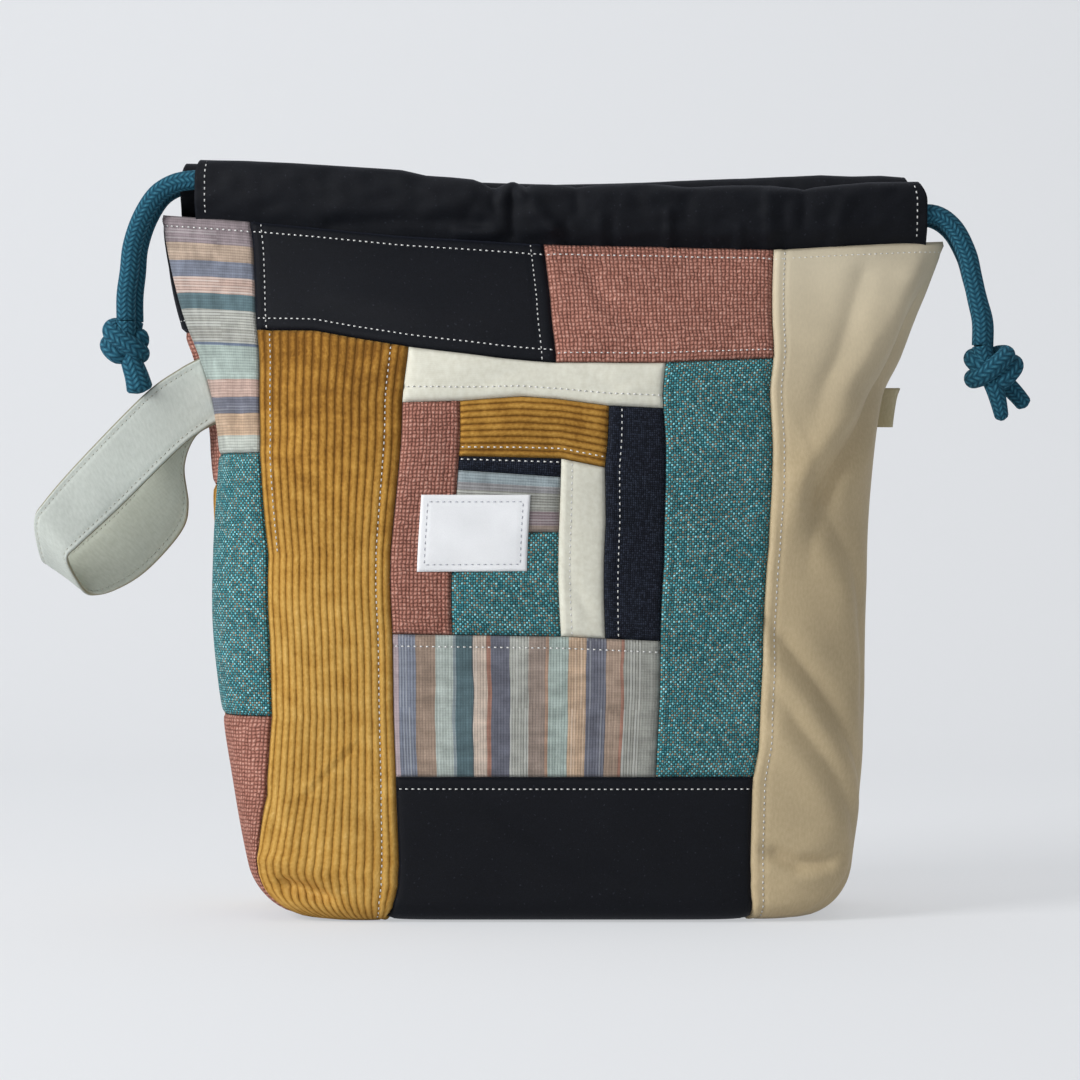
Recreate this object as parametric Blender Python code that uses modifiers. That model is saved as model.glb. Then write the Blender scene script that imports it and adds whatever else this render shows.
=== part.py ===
# Knitting project bag: patchwork shell with boxed base, lining, two drawcord casings,
# two knotted drawcords, a wrist strap and a side tab. Metres, +Z up, front towards -Y.
import bpy
import bmesh
import math
import numpy as np

for old in list(bpy.data.objects):
    bpy.data.objects.remove(old, do_unlink=True)

parts = bpy.data.collections.new("parts")
cutters = bpy.data.collections.new("cutters")
bpy.context.scene.collection.children.link(parts)
bpy.context.scene.collection.children.link(cutters)

# Driving dimensions

PANEL = 0.354            # width of one flat panel, side seam to side seam
CLOTH = 0.0012           # outer cloth with its backing
LINING = 0.0008
CLEAR = 0.0004           # between two pieces that are sewn edge to edge
LINING_CLEAR = 0.0008    # between the shell's inside and the lining
CORNER = 0.050           # side of the square cut out for a boxed base corner
SEAM_SHIFT = 0.002       # the base seam lies this far behind the middle
BOX_CLEAR = 0.0012       # along the boxed corner's own seam
EDGE_X = 0.022           # rounding of the base at the ends
EDGE_Y = 0.009           # rounding of the base at the front and back
CORD = 0.009             # drawcord diameter
CORD_SLACK = 0.004       # how far a cord slides before its bend reaches the casing

# The filled bag's shape: height, half width left and right, half depth, squareness of the section
FORM = np.array([
    (0.000, 0.1290, 0.1262, 0.0540, 7.0),
    (0.030, 0.1358, 0.1300, 0.0540, 5.6),
    (0.060, 0.1423, 0.1328, 0.0540, 4.9),
    (0.100, 0.1483, 0.1348, 0.0540, 4.3),
    (0.150, 0.1523, 0.1362, 0.0540, 3.8),
    (0.205, 0.1500, 0.1408, 0.0565, 3.1),
    (0.228, 0.1530, 0.1436, 0.0550, 2.75),
    (0.247, 0.1590, 0.1528, 0.0505, 2.4),
    (0.262, 0.1650, 0.1592, 0.0435, 2.2),
    (0.280, 0.1705, 0.1672, 0.0325, 2.05),
    (0.298, 0.1745, 0.1735, 0.0225, 2.0),
    (0.312, 0.1765, 0.1762, 0.0190, 2.0),
])

# Height of the rim along the panel, from the left side seam to the right one
RIM = [(0, 311), (42, 307), (108, 300), (172, 296), (225, 295), (273, 294), (322, 297), (354, 299)]

# Stations where every cloth piece has its rows and columns, in millimetres
COLUMNS = [0, 1.5, 5, 12, 24, 36, 45, 53, 61, 70, 86, 110, 140, 177,
           214, 244, 268, 284, 293, 301, 309, 318, 330, 342, 349, 352.5, 354]
ROWS = [0, 2, 7, 14, 22, 40, 70, 100, 135, 170, 205, 230, 250, 266, 281, 296, 312]


# Form of the bag

def smooth(x, knots, values):
    """Monotone cubic through the knots."""
    step = np.diff(knots)
    slope = np.diff(values) / step
    tangent = np.zeros(len(knots))
    tangent[0], tangent[-1] = slope[0], slope[-1]
    for i in range(1, len(knots) - 1):
        if slope[i - 1] * slope[i] > 0:
            tangent[i] = 2 * slope[i - 1] * slope[i] / (slope[i - 1] + slope[i])
    x = min(max(x, knots[0]), knots[-1])
    i = min(max(int(np.searchsorted(knots, x)) - 1, 0), len(step) - 1)
    t = (x - knots[i]) / step[i]
    return ((2 * t**3 - 3 * t**2 + 1) * values[i] + (t**3 - 2 * t**2 + t) * step[i] * tangent[i]
            + (3 * t**2 - 2 * t**3) * values[i + 1] + (t**3 - t**2) * step[i] * tangent[i + 1])


def section(z):
    """Half width left, half width right, half depth and squareness at a height."""
    left, right, depth, square = [smooth(z, FORM[:, 0], FORM[:, k]) for k in (1, 2, 3, 4)]
    if z < EDGE_X:
        cut = EDGE_X - math.sqrt(max(0.0, EDGE_X**2 - (EDGE_X - z)**2))
        left -= cut
        right -= cut
    if z < EDGE_Y:
        depth -= EDGE_Y - math.sqrt(max(0.0, EDGE_Y**2 - (EDGE_Y - z)**2))
    return left, right, depth, square


def half_loop(z, out, loose=1.0):
    """Points of the front half of the section, from the left seam to the right one."""
    left, right, depth, square = section(z)
    square = 2 + (square - 2) * loose
    angle = np.linspace(0, math.pi, 361)
    c, s = np.cos(angle), np.sin(angle)
    half_width = np.where(c > 0, left + out, right + out)
    x = -half_width * np.sign(c) * np.abs(c)**(2 / square)
    y = -(depth + out) * np.abs(s)**(2 / square)
    along = np.concatenate([[0], np.cumsum(np.hypot(np.diff(x), np.diff(y)))])
    return x, y, along / along[-1]


forms = {}


def form(out, loose):
    """Table of x and y at every row and column, for one offset from the shell's inside."""
    if (out, loose) not in forms:
        f = np.array(COLUMNS) / (PANEL * 1000)
        loops = [half_loop(row / 1000, out, loose) for row in ROWS]
        forms[out, loose] = [np.array([np.interp(f, along, xy[k]) for *xy, along in loops]) for k in (0, 1)]
    return forms[out, loose]


def wall(u, z, out=0.0, loose=1.0):
    """Point on the front wall, u millimetres along the panel from the left seam."""
    row = min(max(int(np.searchsorted(ROWS, z * 1000)) - 1, 0), len(ROWS) - 2)
    t = (z * 1000 - ROWS[row]) / (ROWS[row + 1] - ROWS[row])
    x, y = [float(np.interp(u, COLUMNS, g[row] * (1 - t) + g[row + 1] * t)) for g in form(out, loose)]
    return x, y, z


def base(u, w, out, seam_y):
    """Point under the base: w is 0 at the front edge and 1 on the base seam."""
    corner = CORNER * 1000
    x_edge, y_edge, _ = wall(u, 0.0, out)
    left, right, depth, square = section(0.0)
    s = (u - corner) / (PANEL * 1000 - 2 * corner)
    x = x_edge + (-left + s * (left + right) - x_edge) * w
    y = y_edge * (1 - w) + seam_y * w
    rim = (1 - abs(y / (depth + out))**square)**(1 / square)
    near_left = max(0.0, 1 - s / 0.12)**2
    near_right = max(0.0, 1 - (1 - s) / 0.12)**2
    x += near_left * (-(left + out) * rim - x) + near_right * ((right + out) * rim - x)
    if w > 0:
        x += BOX_CLEAR * (near_left - near_right)
    return x, y - CLEAR / 2 * w, 0.0


def line(points):
    """A seam as a function, straight between the given points."""
    p = np.array(points, dtype=float)

    def seam(q):
        return float(np.interp(q, p[:, 0], p[:, 1]))
    seam.knots = list(p[:, 0])
    return seam


rim = line(RIM)

# Seams of the front panel. Upright seams give u at a height, level seams give z at a u.
side_seam = line([(0, 50), (33, 53), (54, 57), (88, 59), (122, 60), (158, 59), (203, 50), (257, 47), (307, 43)])
corduroy_seam = line([(0, 108), (63, 112), (125, 114), (160, 113), (224, 114.5), (249, 116)])
beige_seam = line([(0, 265), (60, 266.5), (74, 269.5), (112, 272), (162, 275.5), (244, 274.5), (294, 273)])
navy_top_seam = line([(242, 180), (271, 176.5), (296, 172)])
teal_seam = line([(63, 224.5), (97, 227.5), (131, 229), (156, 230.5), (222, 227.5), (242, 227.5)])
pink_inner_seam = line([(124, 139.5), (225, 139.5)])
cream_inner_seam = line([(123, 186), (173, 184.5), (199, 183.5)])
navy_inner_seam = line([(122, 205), (173, 204.5), (196, 202.5), (223, 204)])
top_block_seam = line([(47, 258), (74, 257), (115, 249), (155, 244), (180, 242), (228, 242), (274, 244)])
cream_top_seam = line([(114, 224.5), (139, 225), (166, 227), (182, 226), (204, 223), (228, 222)])
ribbed_seam = line([(139, 201), (183.5, 200), (203, 196)])
strip_seam = line([(140, 195), (183.5, 192)])
centre_seam = line([(114, 124), (187, 123), (229, 121)])


def level(value):
    return line([(0, value), (1, value)])


LEFT, RIGHT, FLOOR = level(0), level(PANEL * 1000), None

# Piece: left seam, right seam, bottom seam, top seam, colour, roughness.
# A bottom seam of FLOOR means that the cloth goes round the base edge to the centre seam.
navy, mustard, pink = (0.012, 0.016, 0.028), (0.44, 0.21, 0.030), (0.43, 0.16, 0.115)
teal, cream, beige = (0.035, 0.20, 0.22), (0.73, 0.68, 0.54), (0.54, 0.46, 0.27)
striped = (0.48, 0.42, 0.40)

FRONT = {
    "front_striped_side": (LEFT, side_seam, level(203), rim, striped, 0.85),
    "front_teal_side": (LEFT, side_seam, level(88), level(203), teal, 0.9),
    "front_pink_side": (LEFT, side_seam, level(0), level(88), pink, 0.9),
    "front_navy_top": (side_seam, navy_top_seam, top_block_seam, rim, navy, 0.6),
    "front_pink_top": (navy_top_seam, beige_seam, top_block_seam, rim, pink, 0.9),
    "front_corduroy_side": (side_seam, corduroy_seam, FLOOR, top_block_seam, mustard, 0.9),
    "front_cream_top": (corduroy_seam, teal_seam, cream_top_seam, top_block_seam, cream, 0.9),
    "front_pink_inner": (corduroy_seam, pink_inner_seam, centre_seam, cream_top_seam, pink, 0.9),
    "front_corduroy_inner": (pink_inner_seam, navy_inner_seam, ribbed_seam, cream_top_seam, mustard, 0.9),
    "front_navy_strip": (pink_inner_seam, cream_inner_seam, strip_seam, ribbed_seam, navy, 0.6),
    "front_striped_inner": (pink_inner_seam, cream_inner_seam, level(168), strip_seam, striped, 0.85),
    "front_teal_inner": (pink_inner_seam, cream_inner_seam, centre_seam, level(168), teal, 0.9),
    "front_cream_inner": (cream_inner_seam, navy_inner_seam, centre_seam, ribbed_seam, cream, 0.9),
    "front_navy_inner": (navy_inner_seam, teal_seam, centre_seam, cream_top_seam, navy, 0.6),
    "front_striped_bottom": (corduroy_seam, teal_seam, level(62), centre_seam, striped, 0.85),
    "front_teal_right": (teal_seam, beige_seam, level(62), top_block_seam, teal, 0.9),
    "front_navy_bottom": (corduroy_seam, beige_seam, FLOOR, level(62), navy, 0.6),
    "front_beige_side": (beige_seam, RIGHT, FLOOR, rim, beige, 0.55),
}
back_left, back_right = level(95), level(250)
BACK = {
    "back_navy_top": (LEFT, back_left, level(258), rim, navy, 0.6),
    "back_pink_side": (LEFT, back_left, level(190), level(258), pink, 0.9),
    "back_corduroy_side": (LEFT, back_left, FLOOR, level(190), mustard, 0.9),
    "back_teal_top": (back_left, back_right, level(215), rim, teal, 0.9),
    "back_cream_band": (back_left, back_right, level(150), level(215), cream, 0.9),
    "back_striped_bottom": (back_left, back_right, FLOOR, level(150), striped, 0.85),
    "back_beige_side": (back_right, RIGHT, level(110), rim, beige, 0.55),
    "back_corduroy_corner": (back_right, RIGHT, FLOOR, level(110), mustard, 0.9),
}


# Building helpers

def material(name, colour, roughness):
    mat = bpy.data.materials.new(name)
    mat.use_nodes = True
    shader = mat.node_tree.nodes["Principled BSDF"]
    shader.inputs["Base Color"].default_value = (*colour, 1.0)
    shader.inputs["Roughness"].default_value = roughness
    shader.inputs["Metallic"].default_value = 0.0
    return mat


def keep(obj, name, colour, roughness, collection=parts):
    """Names the object, gives it its own material and files it."""
    obj.name = name
    obj.data.name = name
    obj.data.materials.clear()
    obj.data.materials.append(material(name, colour, roughness))
    for old in list(obj.users_collection):
        old.objects.unlink(obj)
    collection.objects.link(obj)
    return obj


def solidify(obj, thickness, outwards=True):
    mod = obj.modifiers.new("thickness", "SOLIDIFY")
    mod.thickness = thickness
    mod.offset = 1.0 if outwards else -1.0
    mod.use_even_offset = True
    return mod


def stations(low, high, marks, knots, least=2):
    """Fractions from 0 to 1 at the marks and seam knots between low and high."""
    knots = [k for k in knots if low + 2.0 < k < high - 2.0]
    knots = [k for i, k in enumerate(sorted(knots)) if i == 0 or k - sorted(knots)[i - 1] > 2.0]
    inner = [m for m in marks if low + 1.0 < m < high - 1.0 and all(abs(m - k) > 3.5 for k in knots)]
    inner = sorted(inner + knots)
    if len(inner) < least - 1:
        inner = [low + (high - low) * k / least for k in range(1, least)]
    return [(m - low) / (high - low) for m in [low] + inner + [high]]


def cloth_piece(name, left, right, bottom, top, colour, roughness, back=False, out=0.0, thickness=CLOTH):
    """A patch: a grid laid on the bag's form, thickened outwards."""
    floor = bottom is None
    low = level(0) if floor else bottom
    gap = CLEAR * 500
    u_mid = (left(150) + right(150)) / 2
    z_mid = (low(u_mid) + top(u_mid)) / 2
    s_list = stations(left(z_mid), right(z_mid), COLUMNS, low.knots + top.knots)
    t_list = stations(low(u_mid), top(u_mid), ROWS, left.knots + right.knots)
    w_list = [1.0, 0.5, 0.12] if floor else []
    nx, ny = len(s_list) - 1, len(w_list) + len(t_list) - 1
    bpy.ops.mesh.primitive_grid_add(x_subdivisions=nx, y_subdivisions=ny, size=2)
    obj = bpy.context.object
    cut = []
    for v in obj.data.vertices:
        i = round((v.co.x + 1) / 2 * nx)
        j = round((v.co.y + 1) / 2 * ny)
        s = s_list[nx - i] if back else s_list[i]
        t = 0.0 if j < len(w_list) else t_list[j - len(w_list)]
        u, z = u_mid, 100.0
        for _ in range(12):
            z_low = low(u) + (0 if floor or low(u) == 0 else gap)
            z = z_low + (top(u) - gap - z_low) * t
            u_low, u_high = left(z), right(z)
            u_low += gap
            u_high -= gap
            u = u_low + (u_high - u_low) * s
        if j < len(w_list):
            outside = u < CORNER * 1000 - 0.5 or u > (PANEL - CORNER) * 1000 + 0.5
            cut.append(v.index if outside else -1)
            x, y, z = base(u, w_list[j], out, -SEAM_SHIFT if back else SEAM_SHIFT)
        else:
            x, y, z = wall(u, z / 1000, out)
        v.co = (x, -y if back else y, z + CLOTH)
    loose = {i for i in cut if i >= 0}
    if loose:
        mesh = bmesh.new()
        mesh.from_mesh(obj.data)
        mesh.verts.ensure_lookup_table()
        bmesh.ops.delete(mesh, geom=[mesh.verts[i] for i in loose], context="VERTS")
        mesh.to_mesh(obj.data)
        mesh.free()
    solidify(obj, thickness)
    return keep(obj, name, colour, roughness)


def sweep(name, rings, colour, roughness, thickness, closed_ring=False, outwards=True):
    """A sheet through rings of points, thickened to one side."""
    mesh = bpy.data.meshes.new(name)
    count = len(rings[0])
    verts = [p for ring in rings for p in ring]
    faces = []
    for a in range(len(rings) - 1):
        for b in range(count if closed_ring else count - 1):
            c = (b + 1) % count
            faces.append((a * count + b, a * count + c, (a + 1) * count + c, (a + 1) * count + b))
    mesh.from_pydata(verts, [], faces)
    obj = bpy.data.objects.new(name, mesh)
    bpy.context.scene.collection.objects.link(obj)
    solidify(obj, thickness, outwards)
    return keep(obj, name, colour, roughness)


# Outer shell: the front and back patchwork

for name, (left, right, bottom, top, colour, roughness) in FRONT.items():
    cloth_piece(name, left, right, bottom, top, colour, roughness)
for name, (left, right, bottom, top, colour, roughness) in BACK.items():
    cloth_piece(name, left, right, bottom, top, colour, roughness, back=True)

# Label, sewn on the front across three patches

LABEL_GAP = 0.0004
label_z = (151, 184)
cloth_piece("label", line([(151, 125), (184, 124.5)]), line([(151, 172), (184, 171)]), level(label_z[0]),
            level(label_z[1]), (0.84, 0.85, 0.87), 0.6, out=CLOTH + LABEL_GAP, thickness=0.0006)

# Casings: a folded strip behind the rim on each side, a tunnel for both cords

SKIRT = 0.005                 # how far the sewn edge goes down behind the rim
SEAM_CLEAR = 0.0006           # between the sewn edge and the shell
CASING_STEPS = 16
TUNNEL_CLEAR = 0.0014         # beside a cord, which slides past the tunnel's bends
TUNNEL_HALF = CORD / 2 + TUNNEL_CLEAR
TUNNEL_TOP = 0.0272
CASING_CLOTH = 0.0009
CASING_LEFT, CASING_RIGHT = -0.161, 0.165
LOWER_CORD, UPPER_CORD = 0.0112, 0.0210    # cord centres above the rim
BEND_LEFT, BEND_RIGHT = -0.151, 0.154      # where each far bend starts


RIM_POINTS = np.array([wall(u, rim(u) / 1000) for u in COLUMNS])


def rim_at(x):
    """Height of the rim and half depth of the mouth's inside at an x."""
    z = float(np.interp(x, RIM_POINTS[:, 0], RIM_POINTS[:, 2])) + CLOTH
    return z, -float(np.interp(x, RIM_POINTS[:, 0], RIM_POINTS[:, 1]))


def casing_line(x):
    z, mouth = rim_at(x)
    y = mouth - SEAM_CLEAR - CASING_CLOTH - CLEAR / 2
    return z, y


STOPS = [CASING_LEFT + (CASING_RIGHT - CASING_LEFT) * k / CASING_STEPS for k in range(CASING_STEPS + 1)]
SKIRT_HALF = CLEAR / 2
PROFILE = [(-SKIRT_HALF, -SKIRT), (-SKIRT_HALF, 0.003), (-TUNNEL_HALF, 0.0095), (-TUNNEL_HALF, 0.0205),
           (-TUNNEL_HALF * 0.84, 0.0238), (-TUNNEL_HALF * 0.48, 0.0262), (0.0, TUNNEL_TOP)]
PROFILE += [(-y, z) for y, z in reversed(PROFILE[:-1])]


def tunnel_at(x):
    """Rim height and y of the tunnel's centre at a stop; the two tunnels never meet."""
    z, y = casing_line(x)
    return z, max(y, TUNNEL_HALF + CASING_CLOTH + CLEAR)


def tunnel_line(x):
    """The tunnel is straight from stop to stop, and so are the cords in it."""
    stops = [tunnel_at(stop) for stop in STOPS]
    return tuple(float(np.interp(x, STOPS, [s[k] for s in stops])) for k in (0, 1))


for name, side in (("front_casing", -1), ("back_casing", 1)):
    rings = []
    for x in STOPS:
        z, y = casing_line(x)
        _, y_tunnel = tunnel_line(x)
        ring = []
        for dy, dz in PROFILE:
            share = min(1.0, max(0.0, (dz + 0.0) / 0.0095))
            ring.append((x, side * (y + (y_tunnel - y) * share) + dy, z + dz))
        rings.append(ring)
    casing = sweep(name, rings, navy, 0.45, CASING_CLOTH, outwards=False)
    for end, notch in ((-1, BEND_LEFT + CORD_SLACK), (1, BEND_RIGHT - CORD_SLACK)):
        z, y = tunnel_line(notch + end * 0.010)
        bpy.ops.mesh.primitive_cube_add(size=1)
        cutter = bpy.context.object
        low, high = z + 0.0052, z + 0.0264
        cutter.scale = (0.030, 0.0105, high - low)
        cutter.location = (notch + end * 0.015, side * (y - 0.00525 - 0.0022), (low + high) / 2)
        bpy.ops.object.transform_apply(location=True, rotation=True, scale=True)
        keep(cutter, name + "_notch_" + ("left" if end < 0 else "right"), (1, 0, 0), 0.5, cutters)
        cutter.hide_render = True
        cutter.display_type = "WIRE"
        mod = casing.modifiers.new("bend room", "BOOLEAN")
        mod.operation = "DIFFERENCE"
        mod.solver = "EXACT"
        mod.object = cutter

# Lining: one bag inside the shell, its top edge under the casings' sewn edges

LINING_LOOSE = 0.7      # the lining rounds the corners more than the shell does
LINING_DROP = 0.0022    # from the casings' sewn edges down to the lining's edge


def lining_ring(row, share=0.0):
    """A ring at a row, or at a share of the way from that row to the top edge."""
    ring = []
    for u in COLUMNS:
        top = rim(u) - (SKIRT + LINING_DROP) * 1000
        z = row + (top - row) * share
        x, y, _ = wall(u, z / 1000, -LINING_CLEAR, LINING_LOOSE)
        ring.append((x, y, z / 1000 + CLOTH + LINING_CLEAR * max(0.0, 1 - z / 22)))
    return ring + [(x, -y, z) for x, y, z in reversed(ring[1:-1])]


low_rows = [r for r in ROWS if r < 282]
rings = [lining_ring(r) for r in low_rows] + [lining_ring(low_rows[-1], share) for share in (0.5, 1.0)]
lining = sweep("lining", rings, (0.55, 0.52, 0.47), 0.85, LINING, closed_ring=True, outwards=False)
mesh = bmesh.new()
mesh.from_mesh(lining.data)
mesh.verts.ensure_lookup_table()
n = len(COLUMNS)
total = len(rings[0])
for k in range(n - 1):
    front_a, front_b = k, k + 1
    back_a, back_b = (total - k) % total, total - k - 1
    loop = [front_a, back_a, back_b, front_b]
    corners = []
    for c in loop:
        if c not in corners:
            corners.append(c)
    mesh.faces.new([mesh.verts[c] for c in corners])
bmesh.ops.recalc_face_normals(mesh, faces=mesh.faces)
mesh.to_mesh(lining.data)
mesh.free()

# Wrist strap: a flat loop with both ends sewn in the left side seam.
# Each station: lower edge x, z and upper edge x, z, then y, in millimetres

STRAP = 0.0022
STRAP_STATIONS = [
    (-153.8, 218.5, -162.0, 247.0, -1.4), (-159.5, 215.0, -170.5, 242.0, -1.8),
    (-170.1, 206.0, -185.0, 231.3, -3.6), (-195.3, 180.4, -213.3, 201.6, -8.0),
    (-213.3, 163.3, -228.5, 183.5, -11.0), (-218.3, 157.6, -233.2, 175.2, -9.5),
    (-215.0, 147.5, -232.5, 160.5, 0.0), (-210.6, 141.3, -229.6, 154.8, 9.5),
    (-200.5, 143.0, -221.0, 158.5, 12.5), (-185.9, 152.0, -205.2, 172.5, 14.0),
    (-170.1, 169.6, -190.5, 189.0, 13.5), (-166.5, 182.0, -186.5, 203.0, 11.5),
    (-168.0, 199.0, -180.5, 220.5, 8.0), (-163.5, 212.0, -172.5, 236.0, 3.8),
    (-153.8, 218.0, -162.0, 246.5, 1.4),
]
rings = []
dense = []
for k in range(len(STRAP_STATIONS) - 1):
    a = np.array(STRAP_STATIONS[max(k - 1, 0)])
    b, c = np.array(STRAP_STATIONS[k]), np.array(STRAP_STATIONS[k + 1])
    d = np.array(STRAP_STATIONS[min(k + 2, len(STRAP_STATIONS) - 1)])
    for t in (0.0, 0.5):
        dense.append(0.5 * (2 * b + (c - a) * t + (2 * a - 5 * b + 4 * c - d) * t**2
                            + (3 * b - a - 3 * c + d) * t**3))
dense.append(np.array(STRAP_STATIONS[-1]))
for x_low, z_low, x_high, z_high, y in dense:
    rings.append([((x_low + (x_high - x_low) * q) / 1000, y / 1000, (z_low + (z_high - z_low) * q) / 1000)
                  for q in (0.0, 0.5, 1.0)])
strap = sweep("wrist_strap", rings, (0.43, 0.43, 0.34), 0.6, STRAP)
strap.modifiers["thickness"].offset = 0.0

# Side tab: a small folded ribbon in the right side seam

TAB_Z = (0.2165, 0.2345)
tab_path = [(0.0003, -0.0010), (0.0030, -0.0016), (0.0058, -0.0018), (0.0076, 0.0),
            (0.0058, 0.0018), (0.0030, 0.0016), (0.0003, 0.0010)]
rings = []
for dx, y in tab_path:
    ring = []
    for z in (TAB_Z[0], 0.5 * (TAB_Z[0] + TAB_Z[1]), TAB_Z[1]):
        seam_x = wall(PANEL * 1000, z - CLOTH)[0]
        ring.append((seam_x + CLOTH + CLEAR + dx, y, z))
    rings.append(ring)
tab = sweep("side_tab", rings, (0.46, 0.40, 0.25), 0.6, 0.0010)
tab.modifiers["thickness"].offset = 0.0

# Drawcords: each runs through both casings, bends at the far side and hangs in a knot

KNOT_TOP_LEFT, KNOT_TOP_RIGHT = 0.2640, 0.2530
LEFT_FALL = [(-0.1645, 0.3308), (-0.1710, 0.3280), (-0.1788, 0.3208), (-0.1852, 0.3102),
             (-0.1892, 0.2980), (-0.1904, 0.2865), (-0.1917, 0.2755)]
RIGHT_FALL = [(0.1700, 0.3115), (0.1785, 0.3055), (0.1845, 0.2945), (0.1872, 0.2844),
              (0.1898, 0.2736), (0.1920, 0.2640)]


def cord_points(exit_x, bend_x, height, fall, top, spread):
    """Centre of one cord from one knot end through both casings to the other."""
    side = -1 if exit_x < 0 else 1
    half = []
    lean = 0.0011
    z_end = top + CLEAR
    half.append((fall[-1][0] - lean, -spread, z_end))
    for k, (x, z) in enumerate(reversed(fall)):
        q = k / (len(fall) - 1)
        y_exit = tunnel_line(exit_x)[1]
        half.append((x - lean * (1 - q), -(spread + (y_exit - spread) * q**1.5), z))
    inside = [x for x in STOPS if min(exit_x, bend_x) <= x <= max(exit_x, bend_x) and abs(x - bend_x) > 0.004]
    for x in sorted(inside, reverse=exit_x > bend_x) + [bend_x]:
        z, y = tunnel_line(x)
        half.append((x, -y, z + height))
    for k in range(1, 4):
        angle = math.pi / 2 * k / 4
        half.append((bend_x - side * y * math.sin(angle), -y * math.cos(angle), z + height))
    tip = (bend_x - side * y, 0.0, z + height)
    other = [(x + 2 * lean * (1 if k < 1 else 0), -y, z) for k, (x, y, z) in enumerate(half)]
    for k in range(1, len(fall) + 1):
        q = (k - 1) / (len(fall) - 1)
        x, y, z = other[k]
        other[k] = (x + 2 * lean * (1 - q), y, z)
    return half + [tip] + list(reversed(other))


def cord(name, points, colour):
    curve = bpy.data.curves.new(name, "CURVE")
    curve.dimensions = "3D"
    curve.bevel_depth = CORD / 2
    curve.bevel_resolution = 2
    curve.use_fill_caps = True
    spline = curve.splines.new("POLY")
    spline.points.add(len(points) - 1)
    for point, co in zip(spline.points, points):
        point.co = (*co, 1.0)
    obj = bpy.data.objects.new(name, curve)
    bpy.context.scene.collection.objects.link(obj)
    return keep(obj, name, colour, 0.8)


cord_colour = (0.020, 0.090, 0.150)
SPREAD = CORD / 2 + 0.0003
cord("left_drawcord", cord_points(CASING_LEFT, BEND_RIGHT, UPPER_CORD, LEFT_FALL, KNOT_TOP_LEFT, SPREAD), cord_colour)
cord("right_drawcord", cord_points(CASING_RIGHT, BEND_LEFT, LOWER_CORD, RIGHT_FALL, KNOT_TOP_RIGHT, SPREAD), cord_colour)

# Knots: the cord's two ends tied together, one solid each with its two tails


def knot(name, centre, size, top, tails):
    bpy.ops.mesh.primitive_uv_sphere_add(segments=16, ring_count=10, radius=1.0)
    body = bpy.context.object
    body.scale = [s / 2 for s in size]
    body.location = centre
    bpy.ops.object.transform_apply(location=True, rotation=True, scale=True)
    for k, (start, end, r_start, r_end) in enumerate(tails):
        a, b = np.array(start), np.array(end)
        axis = b - a
        length = float(np.linalg.norm(axis))
        bpy.ops.mesh.primitive_cone_add(vertices=12, radius1=r_start, radius2=r_end, depth=length)
        tail = bpy.context.object
        tail.rotation_euler = (math.atan2(-axis[1], math.hypot(axis[0], axis[2])) * 0,
                               math.atan2(axis[0], axis[2]), 0)
        tail.location = (a + b) / 2
        bpy.ops.object.transform_apply(location=True, rotation=True, scale=True)
        keep(tail, name + "_tail_" + str(k), (1, 0, 0), 0.5, cutters)
        tail.hide_render = True
        tail.display_type = "WIRE"
        mod = body.modifiers.new("tail", "BOOLEAN")
        mod.operation = "UNION"
        mod.solver = "EXACT"
        mod.object = tail
    bpy.ops.mesh.primitive_cube_add(size=0.06, location=(centre[0], centre[1], top + 0.03))
    flat = bpy.context.object
    bpy.ops.object.transform_apply(location=True, rotation=True, scale=True)
    keep(flat, name + "_top", (1, 0, 0), 0.5, cutters)
    flat.hide_render = True
    flat.display_type = "WIRE"
    mod = body.modifiers.new("top", "BOOLEAN")
    mod.operation = "DIFFERENCE"
    mod.solver = "EXACT"
    mod.object = flat
    return keep(body, name, cord_colour, 0.8)


knot("left_knot", (-0.1930, 0.0, 0.2537), (0.0222, 0.0225, 0.0250), KNOT_TOP_LEFT,
     [((-0.1922, -0.0042, 0.2490), (-0.1875, -0.0046, 0.2372), 0.0042, 0.0052),
      ((-0.1918, 0.0042, 0.2490), (-0.1878, 0.0046, 0.2378), 0.0042, 0.0052)])
knot("right_knot", (0.1952, 0.0, 0.2427), (0.0270, 0.0225, 0.0260), KNOT_TOP_RIGHT,
     [((0.1985, -0.0035, 0.2380), (0.2006, -0.0040, 0.2195), 0.0046, 0.0040),
      ((0.2030, 0.0035, 0.2400), (0.2128, 0.0040, 0.2275), 0.0044, 0.0036)])
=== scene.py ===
import bpy
import math
from functools import partialmethod
import mathutils
import numpy as np
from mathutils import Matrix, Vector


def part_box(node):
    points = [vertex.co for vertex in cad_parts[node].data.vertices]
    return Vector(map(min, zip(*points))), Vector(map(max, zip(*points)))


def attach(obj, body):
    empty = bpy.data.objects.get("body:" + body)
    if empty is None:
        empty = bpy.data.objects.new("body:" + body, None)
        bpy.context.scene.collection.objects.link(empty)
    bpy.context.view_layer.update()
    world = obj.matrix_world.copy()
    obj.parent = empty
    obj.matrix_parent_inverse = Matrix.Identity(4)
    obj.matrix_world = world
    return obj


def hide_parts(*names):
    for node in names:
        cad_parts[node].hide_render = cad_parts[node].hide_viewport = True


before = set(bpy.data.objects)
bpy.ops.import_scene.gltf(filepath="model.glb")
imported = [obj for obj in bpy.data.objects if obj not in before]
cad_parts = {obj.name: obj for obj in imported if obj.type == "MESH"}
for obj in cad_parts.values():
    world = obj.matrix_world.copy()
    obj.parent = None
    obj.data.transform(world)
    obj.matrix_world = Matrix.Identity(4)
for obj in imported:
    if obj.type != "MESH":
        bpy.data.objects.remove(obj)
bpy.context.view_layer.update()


# Camera: level with the middle of the bag and square to its front, a long way back, so that the
# sides of the bag and of its neck hardly open out.
camera_data = bpy.data.cameras.new("camera")
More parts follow.
